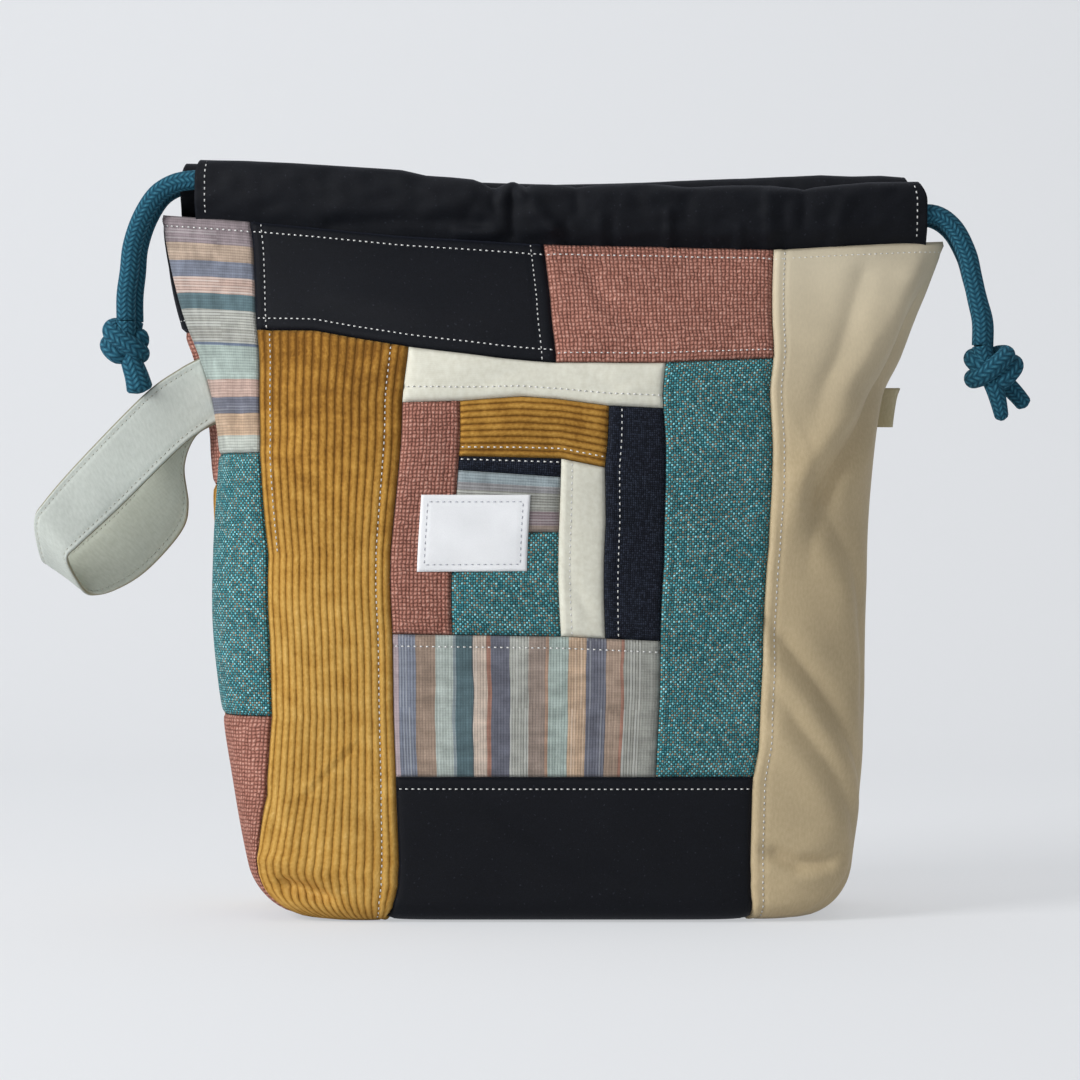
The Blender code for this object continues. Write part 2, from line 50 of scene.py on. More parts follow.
camera_data.sensor_width = 36.0
camera_data.lens = 107.4
camera = bpy.data.objects.new("camera", camera_data)
camera.location = (-0.0072, -1.45, 0.166)
camera.rotation_euler = (math.pi / 2, 0.0, 0.0)
bpy.context.scene.collection.objects.link(camera)
bpy.context.scene.camera = camera


# Drawcords: two thick braided cotton cords. Each runs through both casings, bends at the far
# side and comes out where it went in, and its two ends hang down together into a knot.
CORD = 0.0088


def colour(red, green, blue):
    """An sRGB colour in 0 to 255 as the linear one that sockets take."""
    values = [c / 255 for c in (red, green, blue)]
    return tuple(c / 12.92 if c <= 0.04045 else ((c + 0.055) / 1.055) ** 2.4 for c in values) + (1.0,)


class Wire:
    """One output in a cloth's shader; sums and products on it add Math nodes."""

    def __init__(self, cloth, socket):
        self.cloth, self.socket = cloth, socket

    def op(self, operation, *others):
        return self.cloth.node("Math", dict(enumerate((self,) + others)), operation=operation)

    def __rsub__(self, other):
        return self.cloth.node("Math", {0: other, 1: self}, operation="SUBTRACT")

    def wave(self):
        """A rounded thread over each whole number, 0 at its edges and 1 in its middle."""
        return (self.op("FRACT") * math.pi).op("SINE")

    __add__ = __radd__ = partialmethod(op, "ADD")
    __sub__ = partialmethod(op, "SUBTRACT")
    __mul__ = __rmul__ = partialmethod(op, "MULTIPLY")
    __truediv__ = partialmethod(op, "DIVIDE")
    __pow__ = partialmethod(op, "POWER")


class Cloth:
    """A material under construction. u and v are its cloth coordinates in metres."""

    def __init__(self, name, roughness=0.85, sheen=0.0, tint=(255, 255, 255), specular=0.3):
        self.material = bpy.data.materials.new(name)
        self.material.use_nodes = True
        self.tree = self.material.node_tree
        self.surface = self.tree.nodes["Principled BSDF"]
        look = {"Roughness": roughness, "Specular IOR Level": specular, "Sheen Weight": sheen,
                "Sheen Roughness": 0.45, "Sheen Tint": colour(*tint)}
        for socket, value in look.items():
            self.surface.inputs[socket].default_value = value
        uv = self.node("UVMap", {}, uv_map="cloth")
        self.u, self.v = [self.node("SeparateXYZ", {0: uv}, out) for out in (0, 1)]

    def node(self, kind, sockets, out=0, **settings):
        """Adds a node with its settings, and with numbers or wires in its sockets."""
        node = self.tree.nodes.new("ShaderNode" + kind)
        for key, value in settings.items():
            setattr(node, key, value)
        for key, value in sockets.items():
            if isinstance(value, Wire):
                self.tree.links.new(value.socket, node.inputs[key])
            else:
                node.inputs[key].default_value = value
        return Wire(self, node.outputs[out])

    def ramp(self, value, stops, interpolation="LINEAR"):
        """A colour ramp over values from 0 to 1. Its stops are places and linear colours."""
        wire = self.node("ValToRGB", {0: value})
        ramp = wire.socket.node.color_ramp
        ramp.interpolation = interpolation
        ramp.elements.remove(ramp.elements[-1])
        for number, (place, tone) in enumerate(stops):
            stop = ramp.elements[0] if number == 0 else ramp.elements.new(place)
            stop.position, stop.color = place, tone
        return wire

    def noise(self, size, detail=2.0, across=None, along=None):
        """Cloudy variation from 0 to 1 with lumps of a size in metres."""
        x = (self.u if across is None else across) * (1 / size)
        y = (self.v if along is None else along) * (1 / size)
        place = self.node("CombineXYZ", {0: x, 1: y})
        sockets = {"Vector": place, "Scale": 1.0, "Detail": detail}
        return self.node("TexNoise", sockets, "Fac", noise_dimensions="2D")

    def chance(self, column, row):
        """A random number for each pair of whole numbers."""
        cell = self.node("CombineXYZ", {0: column, 1: row})
        return self.node("TexWhiteNoise", {"Vector": cell}, "Value", noise_dimensions="2D")

    def mix(self, amount, first, second, blend="MIX"):
        return self.node("Mix", {0: amount, 6: first, 7: second}, 2, data_type="RGBA", blend_type=blend)

    def darken(self, tone, light):
        """A colour times a number."""
        return self.mix(1.0, tone, self.node("CombineColor", dict.fromkeys(range(3), light)), "MULTIPLY")

    def limit(self, value, low, high, new_low=0.0, new_high=1.0):
        return self.node("MapRange", {0: value, 1: low, 2: high, 3: new_low, 4: new_high}, clamp=True)

    def tones(self, value, low, high, *stops):
        """A colour ramp from a low value to a high one, with stops of place, red, green, blue."""
        return self.ramp(self.limit(value, low, high), [(place, colour(*tone)) for place, *tone in stops])

    def shade(self, value, low, high, dark, light):
        """From a dark sRGB colour at a low value to a light one at a high value."""
        return self.mix(self.limit(value, low, high), colour(*dark), colour(*light))

    def weave(self, pitch, wander=0.12, flat=0.55):
        """Plain weave: the height of the top thread, 1 where the warp is on top, and a random
        number for each crossing."""
        drift = (self.noise(0.004, 2.0) - 0.5) * (pitch * wander * 6)
        a = (self.u + drift) / pitch
        b = (self.v + drift) / pitch
        column, row = a.op("FLOOR"), b.op("FLOOR")
        warp = ((column + row) * 0.5).op("FRACT") * 2
        across, along = a.wave(), b.wave()
        warp_high = (across ** 0.6) * (along * flat + (1 - flat))
        weft_high = (along ** 0.6) * (across * flat + (1 - flat))
        height = warp * warp_high + (1 - warp) * weft_high
        return height, warp, self.chance(column, row)

    def finish(self, tone, height, depth, strength=0.7):
        """Connects the colour, a little uneven in broad soft clouds, and the relief."""
        tone = self.darken(tone, self.limit(self.noise(0.035, 3.0), 0.3, 0.7, 0.93, 1.05))
        bump = self.node("Bump", {"Strength": strength, "Distance": depth, "Height": height}, "Normal")
        self.tree.links.new(tone.socket, self.surface.inputs["Base Color"])
        self.tree.links.new(bump.socket, self.surface.inputs["Normal"])
        return self.material


def braided_cotton():
    """Braid of the cords: small slanted plaits that meet in chevrons along the cord."""
    cloth = Cloth("braided_cotton", 0.92, 0.20, (90, 150, 175), 0.2)
    turn = cloth.u * 10
    side = ((turn * 0.5).op("FRACT") - 0.5).op("ABSOLUTE") * 2
    slant = cloth.v / 0.0023 + side * 0.95
    plait = (slant.wave() ** 0.7) * (turn.wave() * 0.55 + 0.45)
    fuzz = cloth.noise(0.0005, 2.0, cloth.u * 0.028)
    height = plait + fuzz * 0.45
    tone = cloth.tones(height, 0.1, 1.3, (0.0, 12, 42, 56), (0.35, 24, 68, 88), (0.75, 38, 92, 113),
                       (1.0, 66, 124, 144))
    return cloth.finish(tone, height, 0.0005, 0.8)


def shaped_grid(name, across, up, form, material, closed=False):
    """A grid primitive whose points go to form(s, t), where s and t run from 0 to 1 over it.
    form also gives the cloth coordinates. A closed one is sewn up where its edges meet."""
    bpy.ops.object.select_all(action="DESELECT")
    bpy.ops.mesh.primitive_grid_add(x_subdivisions=across, y_subdivisions=up, size=2)
    piece = bpy.context.object
    mesh = piece.data
    flat = np.zeros(len(mesh.vertices) * 3)
    mesh.vertices.foreach_get("co", flat)
    flat = flat.reshape(-1, 3)
    s, t = [np.rint((flat[:, k] + 1) / 2 * count) / count for k, count in enumerate((across, up))]
    points, coordinates = form(s, t)
    mesh.vertices.foreach_set("co", points.reshape(-1))
    corners = np.zeros(len(mesh.loops), dtype=int)
    mesh.loops.foreach_get("vertex_index", corners)
    mesh.uv_layers[0].name = "cloth"
    mesh.uv_layers[0].data.foreach_set("uv", coordinates[corners].reshape(-1))
    bpy.ops.object.mode_set(mode="EDIT")
    bpy.ops.mesh.select_all(action="SELECT")
    if closed:
        bpy.ops.mesh.remove_doubles(threshold=0.00001)
        bpy.ops.mesh.normals_make_consistent(inside=False)
    bpy.ops.mesh.faces_shade_smooth()
    bpy.ops.object.mode_set(mode="OBJECT")
    piece.name = mesh.name = name
    mesh.materials.append(material)
    return piece


def dress(piece, body, slot, *nodes):
    """The piece rides on its body and stands for its CAD nodes. Its slot is not used."""
    piece.select_set(False)
    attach(piece, body)
    if nodes:
        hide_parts(*nodes)
    return piece


def smooth_path(points, step):
    """A smooth curve through a route's points, read at even steps in metres."""
    p = np.array(points, dtype=float)
    p = np.vstack([2 * p[0] - p[1], p, 2 * p[-1] - p[-2]])
    q = np.linspace(0, 1, 24, endpoint=False)[:, None]
    fine = []
    for a, b, c, d in zip(p[:-3], p[1:-2], p[2:-1], p[3:]):
        fine.append(0.5 * (2 * b + (c - a) * q + (2 * a - 5 * b + 4 * c - d) * q**2
                           + (3 * b - a - 3 * c + d) * q**3))
    fine = np.vstack(fine + [p[-2:-1]])
    along = lengths_along(fine)
    even = np.linspace(0, along[-1], max(2, int(round(along[-1] / step)) + 1))
    return np.column_stack([np.interp(even, along, fine[:, k]) for k in range(3)])


def lengths_along(path):
    return np.concatenate([[0], np.cumsum(np.linalg.norm(np.diff(path, axis=0), axis=1))])


cord_cotton = braided_cotton()


def braid(name, path, radii, sides=20):
    """A closed tube of braid along a path. Its coordinates are a share of the way round and
    the metres along."""
    tangents = np.gradient(path, axis=0)
    tangents /= np.linalg.norm(tangents, axis=1)[:, None]
    normal = np.cross(tangents[0], (0.0, 1.0, 0.0))
    sideways = []
    for tangent in tangents:
        normal = normal - tangent * np.dot(normal, tangent)
        normal /= np.linalg.norm(normal)
        sideways.append(normal)
    sideways = np.array(sideways)
    other = np.cross(tangents, sideways)
    along = lengths_along(path)
    rows = len(path) + 1

    def form(s, t):
        row = np.rint(t * rows).astype(int)
        k = np.clip(row - 1, 0, len(path) - 1)
        radius = np.where((row == 0) | (row == rows), 0.0, radii[k])[:, None]
        angle = 2 * math.pi * s[:, None]
        points = path[k] + radius * (np.cos(angle) * sideways[k] + np.sin(angle) * other[k])
        return points, np.column_stack([s, along[k]])

    return shaped_grid(name, sides, rows, form, cord_cotton, closed=True)


# Places inside the casings, read along the bag: half the gap between the casings, and the height
# of the line where the casing is sewn to the rim.
CASING_LEFT, CASING_RIGHT = -0.161, 0.165
STOPS = [CASING_LEFT + (CASING_RIGHT - CASING_LEFT) * k / 16 for k in range(17)]
TUNNEL_Y = [0.0072, 0.0104, 0.0134, 0.0158, 0.0178, 0.0193, 0.0204, 0.0211, 0.0216,
            0.0216, 0.0213, 0.0206, 0.0195, 0.0175, 0.0146, 0.0109, 0.0072]
TUNNEL_Z = [0.3105, 0.3086, 0.3065, 0.3043, 0.3022, 0.3005, 0.2993, 0.2981, 0.2971,
            0.2967, 0.2963, 0.2959, 0.2955, 0.2958, 0.2969, 0.2982, 0.2995]
LOWER_CORD, UPPER_CORD = 0.0112, 0.0207
BEND_LEFT, BEND_RIGHT = -0.147, 0.150

# Height of the front casing's top edge along the bag, in millimetres, with the dips where the
# drawcords gather it.
FRONT_TOP = [(-161, 335.6), (-137, 334.6), (-114, 333.1), (-92, 331.5), (-69, 329.7), (-58, 327.2),
             (-46, 326.3), (-37, 325.3), (-33, 323.8), (-29.4, 321.6), (-26.3, 321.4), (-23, 323.1),
             (-19.3, 324.3), (-16.3, 323.1), (-13.2, 321.6), (-10.5, 323.1), (-2.8, 323.0), (5.2, 322.4),
             (8.8, 321.4), (12.7, 322.0), (20, 322.8), (39, 323.4), (50, 322.6), (59, 321.6), (67, 322.1),
             (75, 322.6), (95, 322.7), (107, 321.6), (110, 320.9), (114, 322.0), (119, 322.7), (127, 323.6),
             (140, 325.0), (165, 325.8)]


# Inside the casings the cord is a little thinner and read at wider steps. It sinks where the
# casing's top is low, in the gathered middle, and gives way to the one deep fold.
HIDDEN_RADIUS, HIDDEN_OVERLAP = 0.0043, 0.0068
KNOT_STEP, CORD_STEP, HIDDEN_STEP = 0.0011, 0.0018, 0.0022
LOW_STOPS = [-0.028, -0.0196, -0.013, 0.009, 0.059, 0.110]
STOP_CLEAR, GATHERED, LEVEL_HEIGHT = 0.004, 0.12, 0.0264
FOLD_PLACE, FOLD_WIDTH, FOLD_SHIFT = -0.0196, 0.006, 0.0012


def tunnel(x):
    return float(np.interp(x, STOPS, TUNNEL_Y)), float(np.interp(x, STOPS, TUNNEL_Z))


def top_edge(stops):
    """Height of a casing's top edge in metres, from its stops in millimetres."""
    places, heights = zip(*stops)
    return lambda x: np.interp(x * 1000, places, heights) / 1000


front_top = top_edge(FRONT_TOP)


def cord_route(exit_x, fall, top, lean):
    """The front strand from just inside the casing's mouth to the knot's top."""
    y_exit = tunnel(exit_x)[0]
    inside = exit_x - math.copysign(MOUTH_OVERLAP, exit_x)
    points = [(inside, -tunnel(inside)[0], fall[0][1] + 0.0002)]
    for k, (x, z) in enumerate(fall):
        q = k / (len(fall) - 1)
        points.append((x - lean * q, -(SPREAD + (y_exit - SPREAD) * (1 - q)**1.5), z))
    points.append((fall[-1][0] - lean, -SPREAD, top))
    return points


# Routes of the free ends: x and z of the front strand from the mouth to the knot. The other
# strand of the pair hangs behind it, with y turned round.
LEFT_FALL = [(-0.1640, 0.3270), (-0.1712, 0.3255), (-0.1788, 0.3205), (-0.1852, 0.3102),
             (-0.1892, 0.2980), (-0.1904, 0.2865), (-0.1917, 0.2755)]
RIGHT_FALL = [(0.1700, 0.3115), (0.1785, 0.3055), (0.1845, 0.2945), (0.1872, 0.2844),
              (0.1898, 0.2736), (0.1920, 0.2640)]
LEFT_TOP, RIGHT_TOP = 0.2640, 0.2530
SPREAD, STRAND_LEAN = 0.0047, 0.0011
MOUTH_OVERLAP, KNOT_OVERLAP = 0.006, 0.0004

# Knots: the middle line of each turn of the tied pair, in millimetres from the knot's middle,
# and then its tails with the radius at their ends.
LEFT_KNOT = (-0.1937, 0.2553)
LEFT_TURNS = [
    [(3, 5, 5), (-1, 3, 6.2), (-5, -2, 6), (-5, -6, 3.4), (-0.5, -7.2, 0.2), (4.8, -5.6, -3.4),
     (6.6, -0.5, -5.4), (3.5, 5, -5), (-2.5, 6.8, -2.6), (-6.5, 3.4, -0.6), (-6.8, -2.2, -2.2),
     (-3.2, -4.6, -5.8), (1, -2, -6)],
    [(4, -2, 4.5), (6.2, -1.5, 2), (5.6, 2.4, 0), (2, 6.4, 1.5), (-3, 5.8, 3.6), (-5.8, 1.4, 3.6)],
    [(0.9, -4.7, 9.1), (0.8, -4.0, 3), (0.5, -2.6, -3)],
    [(3.1, 4.7, 9.1), (2.0, 3.8, 3), (0.5, 2.6, -3)]]
LEFT_TAILS = [([(1.5, -2.5, -5), (3.6, -4.2, -11), (5.4, -4.4, -16), (7.2, -4.4, -23.4)], 0.0060),
              ([(1.0, 3.0, -5), (3.4, 4.2, -11), (5.2, 4.4, -16), (7.0, 4.2, -22.6)], 0.0054)]
RIGHT_KNOT = (0.1966, 0.2432)
RIGHT_TURNS = [
    [(-1, 5, 5), (3.6, 1, 6.2), (5.2, -4.4, 5.4), (1, -7.2, 1.6), (-4.6, -6.2, -2.8), (-8.8, -1, -4.6),
     (-5, 5.2, -3.6), (2.5, 6.6, -0.8), (8.6, 3, 2.2), (8.9, -2.4, 0.4), (4.6, -4.6, -4.4), (-0.5, -4, -6.2)],
    [(-2, 5.6, 4), (-7.4, 3.2, 5), (-8.9, -1.6, 4), (-6.4, -4.4, 1), (-2.5, -3.4, -1), (2, 0, -2.4),
     (6.5, 1.5, -3.5)],
    [(-5.7, -4.7, 10.2), (-3.6, -3.8, 3), (0.5, -2.4, -3)],
    [(-3.5, 4.7, 10.2), (-2.5, 3.8, 3), (0.5, 2.6, -3)]]
RIGHT_TAILS = [([(-1, -2.5, -5), (0.6, -3.8, -10), (2.2, -3.8, -16), (3.8, -3.6, -23.6)], 0.0030),
               ([(3, 2.4, -4), (8, 3.4, -8.4), (12, 3.8, -12.6), (15.6, 3.8, -17.2)], 0.0036)]
TAIL_BELOW, STRAND_ABOVE = -12, 8
knots = {}

# A tail ends round, a strand that comes in from above starts flat against the free cord, and
# each end that lies inside the knot is rounded off over its last steps.
for side, (knot_x, knot_z), turns, tails in (("left", LEFT_KNOT, LEFT_TURNS, LEFT_TAILS),
                                             ("right", RIGHT_KNOT, RIGHT_TURNS, RIGHT_TAILS)):
    runs = []
    for points, end_radius in [(turn, CORD / 2) for turn in turns] + tails:
        route = [(knot_x + x / 1000, y / 1000, knot_z + z / 1000) for x, y, z in points]
        path = smooth_path(route, KNOT_STEP)
        q = np.linspace(0, 1, len(path))
        radii = CORD / 2 + (end_radius - CORD / 2) * q**1.3
        if points[-1][2] < TAIL_BELOW:
            radii *= np.sqrt(1 - np.clip((q - 0.88) / 0.12, 0, 0.97)**2)
        else:
            inner = 1 - q if points[0][2] > STRAND_ABOVE else np.minimum(q, 1 - q)
            radii *= np.sqrt(1 - np.clip(1 - inner * len(path) / 4, 0, 0.97)**2)
        runs.append(braid(side + "_turn", path, radii))
    for run in runs:
        run.select_set(True)
    bpy.context.view_layer.objects.active = runs[0]
    bpy.ops.object.join()
    knots[side] = dress(bpy.context.object, side + "_cord", "cord", side + "_knot")
    knots[side].name = side + "_tied_knot"

for side, exit_x, bend_x, fall, top, height in (
        ("left", CASING_LEFT, BEND_RIGHT, LEFT_FALL, LEFT_TOP, UPPER_CORD),
        ("right", CASING_RIGHT, BEND_LEFT, RIGHT_FALL, RIGHT_TOP, LOWER_CORD)):
    sign = math.copysign(1, exit_x)
    for strand, turned in (("front", 1), ("back", -1)):
        route = cord_route(exit_x, fall, top + KNOT_OVERLAP, STRAND_LEAN * turned)
        route = [(x, y * turned, z) for x, y, z in route]
        path = smooth_path(route, CORD_STEP)
        piece = braid(f"{side}_cord_{strand}_end", path, np.full(len(path), CORD / 2))
        dress(piece, side + "_cord", "cord", side + "_drawcord")
    start = exit_x - sign * HIDDEN_OVERLAP
    low, high = sorted((start, bend_x))
    stops = [x for x in STOPS if low + STOP_CLEAR < x < high - STOP_CLEAR]
    route = [(start, -tunnel(start)[0], fall[0][1])]
    for x in sorted(set(stops + LOW_STOPS), reverse=sign > 0) + [bend_x]:
        y, z = tunnel(x)
        sag = min(0.0, float(front_top(x)) - z - LEVEL_HEIGHT) if abs(x) < GATHERED else 0.0
        fold = FOLD_SHIFT * math.exp(-((x - FOLD_PLACE) / FOLD_WIDTH)**2)
        route.append((x, fold - y, z + height + sag))
    y, z = tunnel(bend_x)
    bend = [(bend_x - sign * y * math.sin(math.pi / 8 * k), -y * math.cos(math.pi / 8 * k), z + height)
            for k in range(1, 8)]
    path = smooth_path(route + bend + [(x, -y, z) for x, y, z in reversed(route)], HIDDEN_STEP)
    run = braid(side + "_cord_in_casings", path, np.full(len(path), HIDDEN_RADIUS), 16)
    dress(run, side + "_cord", "cord", side + "_drawcord")


# Outer shell: two patchwork panels sewn together at the sides, under the base and across the
# boxed corners. Its form is a flat rectangle at the base that closes to a narrow mouth above.
PANEL = 354.0
ROWS, COLUMNS = 313, 355
CLOTH = 0.0012
PATCH_CLOTH = 0.0007
CORNER = 50.0
SEAM_SHIFT = 0.002
EDGE_X, EDGE_Y = 0.022, 0.009
FORM = np.array([
    (0.000, 0.1290, 0.1262, 0.0540, 7.0),
    (0.030, 0.1358, 0.1300, 0.0540, 5.6),
    (0.060, 0.1423, 0.1328, 0.0540, 4.9),
    (0.100, 0.1483, 0.1348, 0.0540, 4.3),
    (0.150, 0.1523, 0.1362, 0.0540, 3.8),
    (0.205, 0.1500, 0.1408, 0.0565, 3.1),
    (0.228, 0.1530, 0.1436, 0.0550, 2.75),
    (0.247, 0.1590, 0.1528, 0.0505, 2.4),
    (0.262, 0.1650, 0.1592, 0.0435, 2.2),
    (0.280, 0.1705, 0.1672, 0.0325, 2.05),
    (0.298, 0.1745, 0.1735, 0.0225, 2.0),
    (0.312, 0.1765, 0.1762, 0.0190, 2.0),
])
RIM = [(0, 311), (42, 307), (108, 300), (172, 296), (225, 295), (273, 294), (322, 297), (354, 299)]


def smooth_value(x, knots, values):
    """Monotone cubic through the knots."""
    step = np.diff(knots)
    slope = np.diff(values) / step
    tangent = np.zeros(len(knots))
    tangent[0], tangent[-1] = slope[0], slope[-1]
    for i in range(1, len(knots) - 1):
        if slope[i - 1] * slope[i] > 0:
            tangent[i] = 2 * slope[i - 1] * slope[i] / (slope[i - 1] + slope[i])
    x = min(max(x, knots[0]), knots[-1])
    i = min(max(int(np.searchsorted(knots, x)) - 1, 0), len(step) - 1)
    t = (x - knots[i]) / step[i]
    return ((2 * t**3 - 3 * t**2 + 1) * values[i] + (t**3 - 2 * t**2 + t) * step[i] * tangent[i]
            + (3 * t**2 - 2 * t**3) * values[i + 1] + (t**3 - t**2) * step[i] * tangent[i + 1])


def section(z):
    left, right, depth, square = [smooth_value(z, FORM[:, 0], FORM[:, k]) for k in (1, 2, 3, 4)]
    if z < EDGE_X:
        cut = EDGE_X - math.sqrt(max(0.0, EDGE_X**2 - (EDGE_X - z) ** 2))
        left -= cut
        right -= cut
    if z < EDGE_Y:
        depth -= EDGE_Y - math.sqrt(max(0.0, EDGE_Y**2 - (EDGE_Y - z) ** 2))
    return left, right, depth, square


def form_table(out, loose=1.0):
    """x and y of the front wall for every millimetre up and along the panel."""
    table = np.zeros((ROWS, COLUMNS, 2))
    angle = np.linspace(0, math.pi, 1441)
    c, s = np.cos(angle), np.sin(angle)
    for row in range(ROWS):
        left, right, depth, square = section(row / 1000)
        square = 2 + (square - 2) * loose
        half = np.where(c > 0, left + out, right + out)
        x = -half * np.sign(c) * np.abs(c) ** (2 / square)
        y = -(depth + out) * np.abs(s) ** (2 / square)
        along = lengths_along(np.column_stack([x, y]))
        along *= PANEL / along[-1]
        table[row, :, 0] = np.interp(np.arange(COLUMNS), along, x)
        table[row, :, 1] = np.interp(np.arange(COLUMNS), along, y)
    return table


def normals_of(table):
    """Outward directions of a form table."""
    heights = np.broadcast_to(np.arange(ROWS)[:, None] / 1000, (ROWS, COLUMNS))
    points = np.dstack([table, heights])
    up = np.gradient(points, axis=0)
    along = np.gradient(points, axis=1)
    n = np.cross(along, up)
    return n / np.linalg.norm(n, axis=2)[:, :, None]


def read(table, u, z):
    """Value of a table between its millimetres."""
    u = np.clip(u, 0, COLUMNS - 1.001)
    z = np.clip(z, 0, ROWS - 1.001)
    i, j = z.astype(int), u.astype(int)
    a, b = (z - i)[:, None], (u - j)[:, None]
    return ((table[i, j] * (1 - a) + table[i + 1, j] * a) * (1 - b)
            + (table[i, j + 1] * (1 - a) + table[i + 1, j + 1] * a) * b)


shell_form = form_table(CLOTH)
shell_normals = normals_of(shell_form)


def distance_to(line, u, z):
    """Distance in millimetres to a broken line, on which side of it a point lies, and how far
    along the line its nearest place is, from 0 to 1."""
    best = np.full(u.shape, 1e9)
    side, share = np.zeros(u.shape), np.zeros(u.shape)
    for k, ((u0, z0), (u1, z1)) in enumerate(zip(line[:-1], line[1:])):
        du, dz = u1 - u0, z1 - z0
        t = np.clip(((u - u0) * du + (z - z0) * dz) / (du * du + dz * dz), 0, 1)
        d = np.hypot(u - u0 - t * du, z - z0 - t * dz)
        turn = (u - u0) * dz - (z - z0) * du
        closer = d < best
        best = np.where(closer, d, best)
        side = np.where(closer, np.sign(turn), side)
        share = np.where(closer, (k + t) / (len(line) - 1), share)
    return best, side, share


def soft_noise(seed, size_u, size_z):
    """Gentle random undulation over a panel, about -1 to 1."""
    draw = np.random.RandomState(seed)
    total = np.zeros((ROWS, COLUMNS))
    z, u = np.mgrid[0:ROWS, 0:COLUMNS].astype(float)
    for _ in range(14):
        a, b = draw.uniform(-1, 1, 2)
        phase = draw.uniform(0, 2 * math.pi)
        total += np.sin(2 * math.pi * (a * u / size_u + b * z / size_z) + phase) / 14**0.5
    return total * 0.8


# Creases and folds: line in panel coordinates, depth and width in millimetres, how much the
# cloth bulges on the line's right-hand side, and the height of an edge lapped over that side.
FRONT_FOLDS = [
    ([(351, 292), (343, 268), (332, 236), (318, 214), (303, 196), (296, 182), (293, 165), (290, 140)],
     4.4, 9.5, 3.4, 1.6),
    ([(330, 250), (318, 232), (300, 214)], 0.9, 7.0, 1.0, 0.0),
    ([(316, 288), (310, 262), (300, 232), (292, 206)], 0.9, 8.0, -1.0, 0.0),
    ([(276, 126), (296, 100), (318, 66), (330, 40)], 2.6, 9.0, 2.4, 0.8),
    ([(280, 92), (298, 68), (314, 44), (322, 24)], 2.2, 8.0, 2.0, 0.8),
    ([(272, 30), (286, 24), (300, 25), (314, 34)], 2.8, 5.5, 1.6, 0.0),
    ([(292, 200), (300, 176), (318, 150), (330, 126)], 1.4, 9.0, 1.4, 0.4),
    ([(318, 22), (304, 6), (298, 0)], 1.6, 4.0, 0.8, 0.0),
    ([(97, 77), (80, 61), (62, 44)], 0.9, 1.9, 0.7, 0.0),
    ([(54, 15), (64, 13), (73, 10), (80, 5)], 7.5, 5.0, 0.0, 0.0),
    ([(44, 26), (62, 25), (76, 18), (84, 8)], -1.8, 5.0, 0.0, 0.0),
    ([(54, 56), (58, 40), (52, 26)], 1.0, 5.0, -0.8, 0.0),
    ([(70, 266), (120, 256), (172, 251), (225, 250)], 1.0, 8.0, -1.0, 0.0),
    ([(190, 288), (200, 268), (216, 256)], 0.7, 6.0, 0.7, 0.0),
    ([(33, 240), (40, 214), (36, 190)], 1.2, 6.0, 1.0, 0.0),
    ([(150, 50), (190, 22), (240, 8)], 0.9, 8.0, 0.8, 0.0),
    ([(318, 150), (326, 110), (318, 60)], 1.3, 8.0, 1.2, 0.0),
    ([(124, 238), (150, 233), (172, 238)], 0.7, 4.0, 0.6, 0.0),
    ([(190, 240), (206, 231), (224, 236)], 0.6, 4.0, 0.5, 0.0),
    ([(190, 150), (196, 136), (200, 128)], 0.5, 4.0, 0.5, 0.0),
]
BACK_FOLDS = [
    ([(20, 280), (52, 240), (70, 205)], 2.2, 9.0, 2.0, 0.6),
    ([(335, 282), (300, 240), (286, 200)], 2.2, 9.0, -2.0, 0.6),
    ([(90, 258), (177, 248), (262, 256)], 1.1, 8.0, 1.0, 0.0),
    ([(60, 60), (90, 40), (110, 14)], 1.6, 6.5, 1.3, 0.0),
    ([(292, 62), (262, 36), (250, 12)], 1.6, 6.5, -1.3, 0.0),
    ([(150, 150), (180, 110), (178, 70)], 0.9, 10.0, 0.8, 0.0),
    ([(60, 190), (76, 150), (70, 110)], 1.0, 9.0, 0.9, 0.0),
]

# How far the back panel's cloth rolls out beyond the left side seam, by height in millimetres:
# height, roll, and the roll's distance from the seam.
BACK_ROLL = np.array([(0, 0, 10), (10, 0.5, 10), (40, 1.6, 10), (100, 1.6, 10), (140, 1.1, 10),
                      (170, 1.1, 10), (185, 2.8, 10), (205, 4.6, 9), (230, 4.6, 7), (260, 3.4, 5),
                      (300, 2.0, 4), (312, 1.0, 4)])


def relief(folds, seed):
    """How far the cloth stands in or out of the plain form, in millimetres."""
    z, u = np.mgrid[0:ROWS, 0:COLUMNS].astype(float)
    total = soft_noise(seed, 95.0, 80.0) * 0.7 + soft_noise(seed + 1, 38.0, 52.0) * 0.28
    for line, depth, width, bulge, lap in folds:
        d, side, share = distance_to(line, u, z)
        signed = d * side * (1 if bulge >= 0 else -1)
        fold = -depth * np.exp(-((d / width) ** 2) * 2.2)
        fold += abs(bulge) * np.where(signed > 0, 1, 0.25) * np.exp(-(((d - width) / width) ** 2))
        fold += lap * (0.5 + 0.5 * np.tanh(signed / 1.1)) * np.exp(-np.maximum(signed, 0) / 12)
        fading = np.clip((1 - share) / 0.45, 0, 1)
        total += fold * fading * fading * (3 - 2 * fading) * np.clip(share / 0.12 + 0.35, 0, 1)
    quiet = np.clip(z / 10, 0, 1) * np.clip((305 - z) / 22, 0.12, 1)
    quiet *= np.clip(u / 14, 0, 1) * np.clip((PANEL - u) / 14, 0, 1)
    return np.clip(total, -5.5, 4.5) * quiet


reliefs = {"front": relief(FRONT_FOLDS, 3)[:, :, None], "back": relief(BACK_FOLDS, 11)[:, :, None]}


